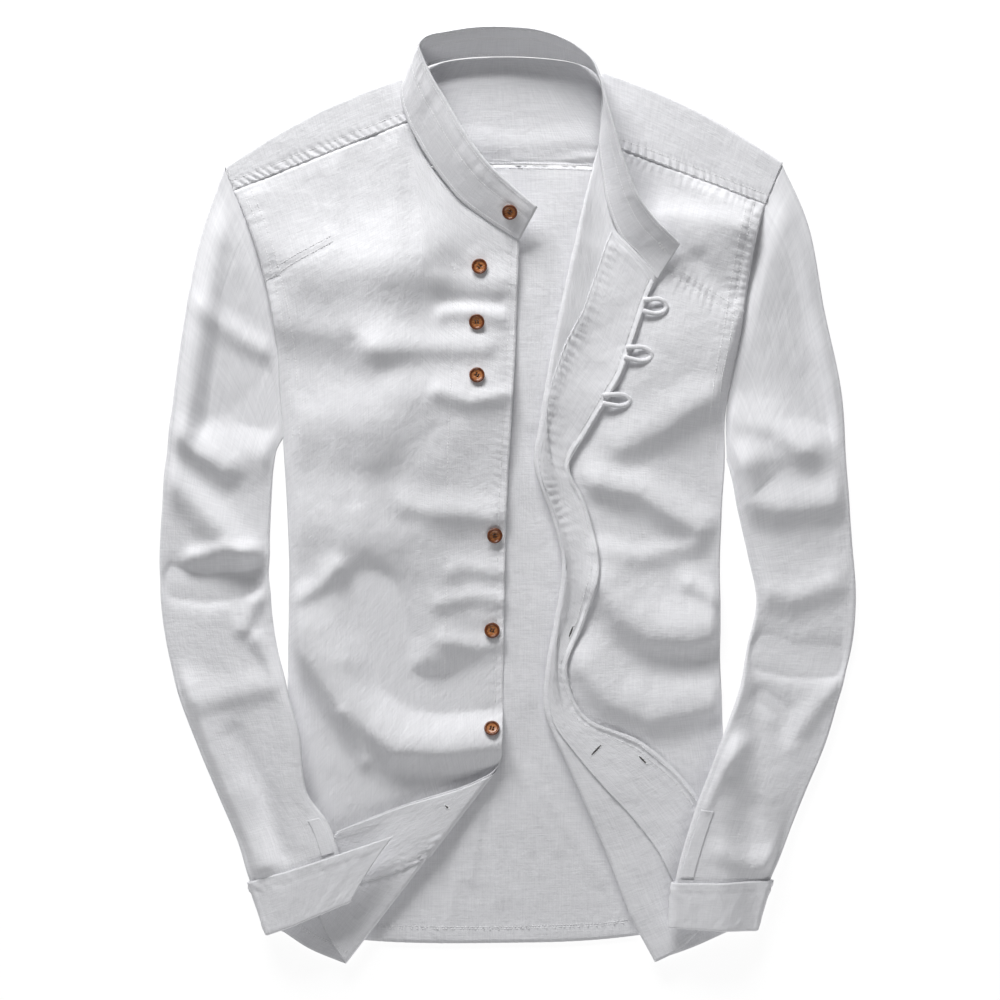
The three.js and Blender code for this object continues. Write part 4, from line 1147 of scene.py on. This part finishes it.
def drop_on(piece, places):
    """Points on the upper face of a piece under the places given in plan, in millimetres."""
    if piece.name not in SURFACES:
        mesh = piece.data
        corners = [tuple(v.co) for v in mesh.vertices]
        SURFACES[piece.name] = BVHTree.FromPolygons(corners, [tuple(p.vertices) for p in mesh.polygons])
    tree = SURFACES[piece.name]
    found = []
    for x, y in places:
        hit, normal, _, _ = tree.ray_cast(Vector((x * MM, y * MM, 0.2)), Vector((0, 0, -1)))
        if hit is not None:
            found.append(np.array(hit + normal * (STITCH_LIFT * MM)) / MM)
    return found


def shifted(path, distance):
    """A path in plan moved sideways, to its left when distance is positive, and sampled every 2 mm."""
    points = np.array(path, float)
    hops = np.linalg.norm(np.diff(points, axis=0), axis=1)
    run = np.concatenate([[0], np.cumsum(hops)])
    at = np.linspace(0, run[-1], max(3, int(run[-1] / 2)))
    fine = np.column_stack([np.interp(at, run, points[:, k]) for k in (0, 1)])
    ahead = np.gradient(fine, axis=0)
    left = np.column_stack([-ahead[:, 1], ahead[:, 0]])
    return fine + distance * left / np.linalg.norm(left, axis=1, keepdims=True)


# Columns: piece, path in plan, sideways shifts of its rows in millimetres.
def plan_lines():
    left_edge = column(LEFT_ROWS, 4)
    return [
        (yoke_piece, YOKE_SEAM_RIGHT, (1.4, 7.6)), (yoke_piece, YOKE_SEAM_LEFT[::-1], (1.4, 7.6)),
        (back_piece, [(-176, -349), *BACK_HEM[1:-1], (172, -341)], (11, 12.6)),
        (back_piece, column(YOKE_BACK_ROWS, 2)[2:7], (-2.2,)),
        (yoke_piece, column(YOKE_BACK_ROWS, 2)[2:7], (1.4,)),
        (front_right_piece, ARM_BAND_RIGHT, (0, 6)), (front_left_piece, ARM_BAND_LEFT, (0, -6)),
        (front_right_piece, RIGHT_EDGE[:-1], (-2.0, -6.4)),
        (front_right_piece, CHEST_SEAM_RIGHT, (1.2, 6)), (front_left_piece, CHEST_SEAM_LEFT, (1.2, -5)),
        (front_right_piece, RIGHT_HEM, (10, 11.4)), (front_left_piece, LEFT_HEM[:2], (-10, -11.4)),
        (front_right_piece, RIGHT_NECK[:-1], (-2.2,)),
        (facing_left_piece, left_edge, (-2.4, -6.6)),
        (front_right_piece, FACING_STITCH_RIGHT, (0,)),
    ]


def collar_points(share):
    """A line along the collar band on the side that shows, at a share of its height."""
    mesh = collar_piece.data
    points = np.array([tuple(v.co) for v in mesh.vertices]) / MM
    both = points.reshape(2, COLLAR_COLUMNS + 1, -1, 3)
    col = round(share * (both.shape[2] - 1))
    upper = np.where(both[0, :, col, 2:] > both[1, :, col, 2:], both[0, :, col], both[1, :, col])
    return list(upper[4:-4] + np.array([0, 0, 0.05]))


# %% Buttonholes
# Columns: piece, x, y, angle in degrees, length. The first one is on the collar and has no slit. The last
# row is no buttonhole: it is where the thread of the button under the turned-up corner comes through.
BUTTONHOLES = [
    (collar_piece, 122.5, 197, -50, 8), (facing_left_piece, 71, -203, 45, 12),
    (facing_left_piece, 108, -211, -45, 9), (facing_left_piece, 51, -109, 70, 10),
    (facing_right_piece, -48, -248, -40, 4.5),
]


def oval(x, y, angle, reach, width):
    turns = np.linspace(0, 2 * math.pi, 33)
    along, aside = reach * np.cos(turns), width * np.sin(turns)
    c, s = math.cos(math.radians(angle)), math.sin(math.radians(angle))
    return np.column_stack([x + along * c - aside * s, y + along * s + aside * c])


def slit_shadow(k, row):
    """Painted shadow in a buttonhole's opening: a narrow dark lens that lies on the cloth."""
    piece, x, y, angle, length = row
    rim = drop_on(piece, oval(x, y, angle, length / 2 - 0.6, 0.6)[:-1])
    top = np.array(rim) + np.array([0, 0, 0.25])
    points = np.concatenate([top, top - np.array([0, 0, 0.5])])
    count = len(top)
    faces = [tuple(range(count)), tuple(range(2 * count - 1, count - 1, -1))]
    faces += [(a, a + count, (a + 1) % count + count, (a + 1) % count) for a in range(count)]
    mesh = bpy.data.meshes.new(f"buttonhole_slit_shadow_{k}")
    mesh.from_pydata((points * MM).tolist(), [], faces)
    orient_outward(mesh)
    mesh.materials.append(SLIT_SHADOW)
    return add_object(f"buttonhole_slit_shadow_{k}", mesh)


# %% Geometry Nodes for the stitches
def stitch_nodes(material):
    tree = bpy.data.node_groups.new("row_of_stitches", "GeometryNodeTree")
    tree.interface.new_socket("Geometry", in_out="INPUT", socket_type="NodeSocketGeometry")
    pitch = tree.interface.new_socket("Pitch", in_out="INPUT", socket_type="NodeSocketFloat")
    pitch.default_value = 2.4 * MM
    thread = tree.interface.new_socket("Thread", in_out="INPUT", socket_type="NodeSocketFloat")
    thread.default_value = 0.3 * MM
    tree.interface.new_socket("Geometry", in_out="OUTPUT", socket_type="NodeSocketGeometry")
    add, link = tree.nodes.new, tree.links.new
    given, made = add("NodeGroupInput"), add("NodeGroupOutput")
    curve, points = add("GeometryNodeMeshToCurve"), add("GeometryNodeCurveToPoints")
    points.mode = "LENGTH"
    bead, scale = add("GeometryNodeMeshUVSphere"), add("ShaderNodeCombineXYZ")
    set_inputs(bead, {"Segments": 6, "Rings": 4, "Radius": 1})
    length = add("ShaderNodeMath")
    length.operation = "MULTIPLY"
    length.inputs[1].default_value = 0.42
    wobble, laid = add("FunctionNodeRandomValue"), add("GeometryNodeInstanceOnPoints")
    wobble.inputs["Seed"].default_value = 7
    wobble.inputs[2].default_value, wobble.inputs[3].default_value = 0.85, 1.12
    factor = add("ShaderNodeVectorMath")
    factor.operation = "SCALE"
    real, finish = add("GeometryNodeRealizeInstances"), add("GeometryNodeSetMaterial")
    shade = add("GeometryNodeSetShadeSmooth")
    finish.inputs["Material"].default_value = material
    link(given.outputs["Geometry"], curve.inputs["Mesh"])
    link(curve.outputs["Curve"], points.inputs["Curve"])
    link(given.outputs["Pitch"], points.inputs["Length"])
    link(given.outputs["Pitch"], length.inputs[0])
    link(given.outputs["Thread"], scale.inputs["X"])
    link(given.outputs["Thread"], scale.inputs["Y"])
    link(length.outputs[0], scale.inputs["Z"])
    link(scale.outputs[0], factor.inputs[0])
    link(wobble.outputs[1], factor.inputs["Scale"])
    link(points.outputs["Points"], laid.inputs["Points"])
    link(bead.outputs["Mesh"], laid.inputs["Instance"])
    link(points.outputs["Rotation"], laid.inputs["Rotation"])
    link(factor.outputs[0], laid.inputs["Scale"])
    link(laid.outputs[0], real.inputs[0])
    link(real.outputs[0], shade.inputs["Geometry"])
    link(shade.outputs[0], finish.inputs["Geometry"])
    link(finish.outputs[0], made.inputs[0])
    return tree


def stitched(name, lines, tree):
    """One mesh of stitches along all the lines, each a list of points in millimetres."""
    points, edges = [], []
    for path in lines:
        first = len(points)
        points.extend((np.array(path) * MM).tolist())
        edges.extend((first + k, first + k + 1) for k in range(len(path) - 1))
    guide = bpy.data.meshes.new(name + "_guide")
    guide.from_pydata(points, edges, [])
    holder = add_object(name + "_guide", guide)
    modifier = holder.modifiers.new("stitches", "NODES")
    modifier.node_group = tree
    result = holder.evaluated_get(bpy.context.evaluated_depsgraph_get())
    mesh = bpy.data.meshes.new_from_object(result)
    mesh.name = name
    piece = add_object(name, mesh)
    bpy.data.objects.remove(holder)
    print(name, "faces", len(mesh.polygons))
    return piece


# %% [markdown]
# ## Materials
#
# The cloth is a plain white cotton. Close up it is a weave of threads that are not quite even, with longer
# slubs both ways. The shared group below gives that as a height and a tint, at the scale of its UV map. It
# adds the crinkle and the broad unevenness of washed cloth to the height.

# %% Weave group
def weave_group():
    tree = bpy.data.node_groups.new("plain_weave", "ShaderNodeTree")
    for name, value in (("Pitch", 0.42), ("Slub", 1.0)):
        tree.interface.new_socket(name, in_out="INPUT", socket_type="NodeSocketFloat").default_value = value
    for name in ("Height", "Tint"):
        tree.interface.new_socket(name, in_out="OUTPUT", socket_type="NodeSocketFloat")
    add, link = tree.nodes.new, tree.links.new
    given, made = add("NodeGroupInput"), add("NodeGroupOutput")

    def maths(operation, a, b=None, c=None):
        node = add("ShaderNodeMath")
        node.operation = operation
        for socket, value in zip(node.inputs, (a, b, c)):
            if value is None:
                continue
            if isinstance(value, (int, float)):
                socket.default_value = value
            else:
                link(value, socket)
        return node.outputs[0]

    uv = add("ShaderNodeUVMap")
    uv.uv_map = "cloth"
    split = add("ShaderNodeSeparateXYZ")
    link(uv.outputs[0], split.inputs[0])
    per_thread = maths("DIVIDE", 1000 * math.pi, given.outputs["Pitch"])
    warp, weft = (maths("SINE", maths("MULTIPLY", split.outputs[k], per_thread)) for k in (0, 1))
    over = maths("MULTIPLY_ADD", maths("MULTIPLY", warp, weft), 0.5, 0.5)
    rounds = [maths("ABSOLUTE", thread) for thread in (warp, weft)]
    under = maths("SUBTRACT", 1, over)
    threads = maths("ADD", maths("MULTIPLY", rounds[0], over), maths("MULTIPLY", rounds[1], under))

    def slubs(across, along):
        stretch, noise = add("ShaderNodeMapping"), add("ShaderNodeTexNoise")
        stretch.inputs["Scale"].default_value = (across, along, 1)
        set_inputs(noise, {"Scale": 1, "Detail": 3})
        link(uv.outputs[0], stretch.inputs["Vector"])
        link(stretch.outputs[0], noise.inputs["Vector"])
        return noise.outputs["Fac"]

    both = maths("ADD", slubs(900, 45), slubs(55, 1100))
    uneven = maths("MULTIPLY", maths("SUBTRACT", both, 1), given.outputs["Slub"])
    crinkle, mottle = add("ShaderNodeTexNoise"), add("ShaderNodeTexNoise")
    for noise, scale, detail in ((crinkle, 170, 5), (mottle, 38, 6)):
        set_inputs(noise, {"Scale": scale, "Detail": detail, "Roughness": 0.6})
        link(uv.outputs[0], noise.inputs["Vector"])
    pressed = maths("MULTIPLY_ADD", crinkle.outputs["Fac"], 3.2, uneven)
    pressed = maths("MULTIPLY_ADD", mottle.outputs["Fac"], 5.0, pressed)
    link(maths("MULTIPLY_ADD", threads, 0.25, pressed), made.inputs["Height"])
    link(maths("MULTIPLY_ADD", uneven, 0.9, 0.5), made.inputs["Tint"])
    return tree


WEAVE = weave_group()


# %% Cloth, thread and button materials
def cloth_material(name, low, high, slub, bump):
    material, nodes, links = new_material(name)
    shader = nodes["Principled BSDF"]
    weave, tint = nodes.new("ShaderNodeGroup"), nodes.new("ShaderNodeMix")
    height = nodes.new("ShaderNodeBump")
    weave.node_tree = WEAVE
    tint.data_type = "RGBA"
    set_inputs(weave, {"Slub": slub})
    set_inputs(tint, {"A": (*low, 1), "B": (*high, 1)})
    set_inputs(height, {"Strength": bump, "Distance": 0.25 * MM})
    links.new(weave.outputs["Tint"], tint.inputs["Factor"])
    links.new(weave.outputs["Height"], height.inputs["Height"])
    links.new(tint.outputs["Result"], shader.inputs["Base Color"])
    links.new(height.outputs[0], shader.inputs["Normal"])
    set_inputs(shader, {"Roughness": 0.92, "Specular IOR Level": 0.2,
                        "Sheen Weight": 0.12, "Sheen Roughness": 0.6})
    return material


def thread_material(name, colour, roughness):
    material, nodes, links = new_material(name)
    shader, noise = nodes["Principled BSDF"], nodes.new("ShaderNodeTexNoise")
    where, height = nodes.new("ShaderNodeTexCoord"), nodes.new("ShaderNodeBump")
    set_inputs(noise, {"Scale": 9000})
    set_inputs(height, {"Strength": 0.24, "Distance": 0.05 * MM})
    links.new(where.outputs["Object"], noise.inputs["Vector"])
    links.new(noise.outputs["Fac"], height.inputs["Height"])
    links.new(height.outputs[0], shader.inputs["Normal"])
    set_inputs(shader, {"Base Color": (*colour, 1), "Roughness": roughness})
    return material


def wood_material(name, dark, light, roughness):
    """Fine grain along one way of a button, as darker and lighter streaks."""
    material, nodes, links = new_material(name)
    shader, noise = nodes["Principled BSDF"], nodes.new("ShaderNodeTexNoise")
    stretch, where = nodes.new("ShaderNodeMapping"), nodes.new("ShaderNodeTexCoord")
    ramp, height = nodes.new("ShaderNodeValToRGB"), nodes.new("ShaderNodeBump")
    set_inputs(stretch, {"Scale": (350, 2600, 900), "Rotation": (0, 0, 0.5)})
    set_inputs(noise, {"Scale": 1, "Detail": 5})
    set_inputs(height, {"Strength": 0.2, "Distance": 0.08 * MM})
    for element, position, colour in zip(ramp.color_ramp.elements, (0.35, 0.7), (dark, light)):
        element.position, element.color = position, (*colour, 1)
    links.new(where.outputs["Object"], stretch.inputs["Vector"])
    links.new(stretch.outputs[0], noise.inputs["Vector"])
    links.new(noise.outputs["Fac"], ramp.inputs["Fac"])
    links.new(ramp.outputs["Color"], shader.inputs["Base Color"])
    links.new(noise.outputs["Fac"], height.inputs["Height"])
    links.new(height.outputs[0], shader.inputs["Normal"])
    set_inputs(shader, {"Roughness": roughness})
    return material


SHIRT = cloth_material("white_cotton", (0.73, 0.73, 0.755), (0.93, 0.93, 0.95), slub=1.0, bump=0.7)
STIFF = cloth_material("white_cotton_stiffened", (0.74, 0.74, 0.765), (0.91, 0.91, 0.93), slub=0.8, bump=0.6)
THREAD = thread_material("white_thread", (0.9, 0.9, 0.91), 0.6)
RIM = wood_material("button_rim", (0.075, 0.018, 0.005), (0.26, 0.075, 0.02), 0.3)
DISH = wood_material("button_dish", (0.24, 0.075, 0.022), (0.62, 0.26, 0.095), 0.26)
# The buttonhole material is painted shadow: a dark colour for the shade inside each slit.
SLIT_SHADOW = thread_material("buttonhole_shadow", (0.09, 0.085, 0.085), 0.9)
DARK_THREAD = thread_material("button_thread", (0.03, 0.014, 0.009), 0.7)
for piece in ALL_PIECES:
    stiff = piece.name.startswith(("collar", "cuff", "placket"))
    piece.data.materials.append(STIFF if stiff else SHIRT)

# %% Lay the stitches
STITCHES = stitch_nodes(THREAD)
lines = []
for piece, path, rows in plan_lines():
    for distance in rows:
        found = drop_on(piece, shifted(path, distance))
        if len(found) > 2:
            lines.append(found)
for share in (0.09, 0.62, 0.93):
    lines.append(collar_points(share))
for piece, x, y, angle, length in BUTTONHOLES:
    for width in (0.9, 1.3) if length > 8 else (0.4, 0.8, 1.2):
        lines.append(drop_on(piece, oval(x, y, angle, length / 2, width)))
stitch_piece = stitched("topstitching", lines, STITCHES)
# Each buttonhole except the one on the collar gets a dark lens of painted shadow for its slit.
slit_shadow_pieces = [slit_shadow(k + 1, row) for k, row in enumerate(BUTTONHOLES[1:])]

# %% [markdown]
# ## Buttons
#
# The buttons are turned from red-brown wood, 12.5 mm across: a raised rim that is darker than the shallow
# dish, and four holes. One is made, drilled right through, and copied. Each copy is placed where the frame has
# one: its axis is the direction in which the frame's disc is thinnest. Dark thread runs between its holes.

# %% Button shape
BUTTON_PROFILE = [
    (0, 0.05), (3.0, 0.05), (4.6, 0.3), (5.6, 0.95), (6.12, 1.6), (6.22, 2.1), (6.1, 2.6), (5.7, 2.93),
    (5.25, 3.0), (4.85, 2.86), (4.55, 2.5), (4.3, 2.08), (3.9, 1.86), (3.0, 1.74), (1.6, 1.68), (0, 1.66),
]
HOLE_REACH = 1.45
HOLE_RADIUS = 0.62
DISH_RADIUS = 4.4
RIM_SLOT, DISH_SLOT, THREAD_SLOT = range(3)


def lathe(profile, around=48):
    """A closed turned solid from radius and height pairs, as a bmesh."""
    data = bmesh.new()
    rings = []
    for radius, height in profile:
        if radius == 0:
            rings.append([data.verts.new((0, 0, height))] * around)
        else:
            rings.append([data.verts.new((radius * math.cos(a), radius * math.sin(a), height))
                          for a in np.linspace(0, 2 * math.pi, around, endpoint=False)])
    for low, high in zip(rings, rings[1:]):
        for k in range(around):
            corners = [low[k], low[(k + 1) % around], high[(k + 1) % around], high[k]]
            data.faces.new(list(dict.fromkeys(corners)))
    return data


def button_mesh():
    data = lathe(BUTTON_PROFILE)
    for face in data.faces:
        in_dish = face.calc_center_median().xy.length < DISH_RADIUS and face.normal.z > -1
        face.material_index = DISH_SLOT if in_dish else RIM_SLOT
        face.smooth = True
    solid = bpy.data.meshes.new("button")
    data.to_mesh(solid)
    data.free()
    solid.materials.append(RIM)
    solid.materials.append(DISH)
    holes = bmesh.new()
    for k in range(4):
        angle = math.radians(45 + 90 * k)
        drill = bmesh.ops.create_cone(holes, cap_ends=True, segments=20, radius1=HOLE_RADIUS,
                                      radius2=HOLE_RADIUS, depth=8)
        middle = Vector((HOLE_REACH * math.cos(angle), HOLE_REACH * math.sin(angle), 1))
        bmesh.ops.translate(holes, verts=drill["verts"], vec=middle)
    tool_mesh = bpy.data.meshes.new("drill")
    holes.to_mesh(tool_mesh)
    holes.free()
    body, tool = add_object("button", solid), add_object("drill", tool_mesh)
    cut = body.modifiers.new("holes", "BOOLEAN")
    cut.object = tool
    cut.operation = "DIFFERENCE"
    drilled = bpy.data.meshes.new_from_object(body.evaluated_get(bpy.context.evaluated_depsgraph_get()))
    bpy.data.objects.remove(body)
    bpy.data.objects.remove(tool)
    return drilled


def button_place(node):
    """Centre of a button's back and its axis: where the frame has it, at the height of the dressed cloth."""
    points = np.array([tuple(v.co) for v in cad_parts[node].data.vertices])
    middle = points.mean(axis=0)
    _, _, axes = np.linalg.svd(points - middle)
    axis = axes[2] * (1 if axes[2][2] > 0 else -1)
    if node == "button_8":
        axis = -axis
    low = ((points - middle) @ axis).min()
    place = (middle + axis * low) / MM
    if node in ("button_1", "button_8"):
        return place, axis
    reach = 0.36 * BUTTON_DIAMETER
    east, west, north, south = (drop_on(front_right_piece, [place[:2] + step])[0] for step in
                                ((reach, 0), (-reach, 0), (0, reach), (0, -reach)))
    axis = np.cross(east - west, north - south)
    axis = axis / np.linalg.norm(axis)
    place[2] = (east[2] + west[2] + north[2] + south[2]) / 4 + 0.35
    return place, axis


# %% Buttons and their thread
def tube(path, radius, sides=8):
    """Rings round a path in millimetres, with flat ends, as vertices and faces."""
    path = np.array(path, float)
    ahead = np.gradient(path, axis=0)
    ahead /= np.linalg.norm(ahead, axis=1, keepdims=True)
    side = np.cross(ahead, (0, 0, 1.0))
    side /= np.maximum(np.linalg.norm(side, axis=1, keepdims=True), 1e-9)
    up = np.cross(side, ahead)
    turns = np.linspace(0, 2 * math.pi, sides, endpoint=False)
    wide, tall = np.broadcast_to(radius, (2,))
    rings = [path + side * wide * math.cos(a) + up * tall * math.sin(a) for a in turns]
    points = np.array(rings).transpose(1, 0, 2).reshape(-1, 3)
    faces = []
    for i in range(len(path) - 1):
        for k in range(sides):
            a, b = i * sides + k, i * sides + (k + 1) % sides
            faces.append((a, b, b + sides, a + sides))
    faces.append(tuple(range(sides))[::-1])
    faces.append(tuple(len(points) - sides + k for k in range(sides)))
    return points, faces


def turned(x, y, z, turn):
    """A point turned about the axis of a button."""
    c, s = math.cos(turn), math.sin(turn)
    return x * c - y * s, x * s + y * c, z


def strands(turn):
    """Two bundles of thread between the holes of a button, as they lie in its own frame."""
    reach = HOLE_REACH * math.sin(math.radians(45))
    paths = []
    for sign in (1, -1):
        for spread in (-0.22, 0.0, 0.22):
            path = [(reach * s, sign * reach + spread, 1.85 + 0.32 * (1 - s ** 4) - 1.0 * (abs(s) > 0.99))
                    for s in np.linspace(-1, 1, 9)]
            paths.append([turned(x, y, z, turn) for x, y, z in path])
    return paths


def make_buttons():
    shape = button_mesh()
    made = []
    rng = np.random.default_rng(5)
    for k in range(1, 9):
        back, axis = button_place(f"button_{k}")
        turn = rng.uniform(0, math.pi)
        rotation = Vector((0, 0, 1)).rotation_difference(Vector(axis)).to_matrix().to_4x4()
        mesh = shape.copy()
        data = bmesh.new()
        data.from_mesh(mesh)
        for vert in data.verts:
            vert.co = turned(*vert.co, turn)
        for path in strands(turn):
            points, faces = tube(path, 0.16, 6)
            verts = [data.verts.new(p) for p in points]
            for face in faces:
                made_face = data.faces.new([verts[n] for n in face])
                made_face.material_index = THREAD_SLOT
                made_face.smooth = True
        for vert in data.verts:
            vert.co = ((rotation @ vert.co) + Vector(back)) * MM
        bmesh.ops.recalc_face_normals(data, faces=data.faces)
        data.to_mesh(mesh)
        data.free()
        mesh.materials.append(DARK_THREAD)
        made.append(add_object(f"button_{k}_wood", mesh))
    print("buttons:", len(made), "faces each:", len(made[0].data.polygons))
    return made


button_pieces = make_buttons()

# %% [markdown]
# ## Loops
#
# Three loops of narrow folded cloth hang from the left front edge. Each is a soft tube, a little flat, that
# leaves the facing, bends back on itself and droops.

# %% Loops
# Columns: root x, y; tip x, y; spread.
LOOPS = [(108, 150.5, 128.5, 149.5, 5.6), (94, 113.5, 116.5, 110.5, 5.2), (76, 76, 99.5, 75, 4.2)]
LOOP_CORD = 3.6
LOOP_DROOP = 3
LOOP_SIDES = 12
# Columns: share of the reach, share of the spread.
LOOP_SHAPE = [
    (0, 0.75), (0.3, 0.95), (0.62, 1.05), (0.88, 0.7), (1, 0),
    (0.88, -0.7), (0.62, -1.05), (0.3, -0.95), (0, -0.75),
]


def make_loop(k, row):
    root, tip = np.array(row[:2], float), np.array(row[2:4], float)
    out = tip - root
    length = np.linalg.norm(out) - LOOP_CORD / 2
    out /= np.linalg.norm(out)
    wide = np.array([-out[1], out[0]])
    seats = drop_on(facing_left_piece, [root + wide * row[4] * s for s in (-0.7, 0, 0.7)])
    height = max(seat[2] for seat in seats) + 1.0
    path = []
    for reach, sidewise in LOOP_SHAPE:
        place = root + out * reach * length + wide * sidewise * row[4]
        path.append((*place, height - LOOP_DROOP * max(0, reach - 0.3) ** 1.5))
    fine = by_row(path)(np.linspace(0, 1, 60))
    x, y = fine[:, 0], fine[:, 1]
    fine[:, :2] += 0.25 * np.column_stack([rumple(x, y, 5, k), rumple(y, x, 5, k + 9)])
    points, faces = tube(fine, (1.9, 1.3), LOOP_SIDES)
    mesh = bpy.data.meshes.new(f"loop_{k}_cloth")
    mesh.from_pydata((points * MM).tolist(), [], faces)
    layer = mesh.uv_layers.new(name="cloth")
    around = np.arange(len(points)) % LOOP_SIDES * 0.8 * MM
    along = np.arange(len(points)) // LOOP_SIDES * 0.9 * MM
    corners = np.empty(len(mesh.loops), int)
    mesh.loops.foreach_get("vertex_index", corners)
    layer.data.foreach_set("uv", np.column_stack([around, along])[corners].ravel())
    orient_outward(mesh)
    mesh.polygons.foreach_set("use_smooth", [True] * len(mesh.polygons))
    mesh.materials.append(SHIRT)
    return add_object(f"loop_{k}_cloth", mesh)


loop_pieces = [make_loop(k + 1, row) for k, row in enumerate(LOOPS)]

# %% [markdown]
# ## Hand the pieces over
#
# Each piece stands for its part of the frame and rides on the one body. Each cut piece of cloth is listed
# with the flat size of what shows of it, all round on a sleeve or a cuff; only the names are used here.

SHEETS = [
    ("back_panel", 0.42, 0.62, 0.22, ["floor"]),
    ("yoke", 0.50, 0.20, 0.044, ["back_panel_cloth"]),
    ("front_right", 0.25, 0.65, 0.118, ["back_panel_cloth"]),
    ("front_left", 0.27, 0.65, 0.118, ["back_panel_cloth"]),
    ("facing_right", 0.09, 0.14, 0.0062, ["front_right_cloth"]),
    ("facing_left", 0.075, 0.62, 0.0223, ["front_left_cloth"]),
    ("collar_band", 0.50, 0.036, None, ["front_right_cloth", "front_left_cloth", "yoke_cloth"]),
    ("sleeve_right", 0.40, 0.60, 0.092, ["floor", "front_right_cloth"]),
    ("sleeve_left", 0.40, 0.60, 0.094, ["floor", "front_left_cloth"]),
    ("cuff_right", 0.20, 0.058, None, ["sleeve_right_cloth"]),
    ("cuff_left", 0.165, 0.058, None, ["sleeve_left_cloth"]),
    ("placket_right", 0.011, 0.034, None, ["sleeve_right_cloth"]),
    ("placket_left", 0.012, 0.045, None, ["sleeve_left_cloth"]),
]
for node, width, length, area, under in SHEETS:
    piece = bpy.data.objects[node + "_cloth"]
    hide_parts(node)
    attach(piece, "root")
for k, piece in enumerate(loop_pieces):
    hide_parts(f"loop_{k + 1}")
    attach(piece, "root")
for k, piece in enumerate(button_pieces):
    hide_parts(f"button_{k + 1}")
    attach(piece, "root")
for piece in (stitch_piece, *slit_shadow_pieces):
    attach(piece, "root")
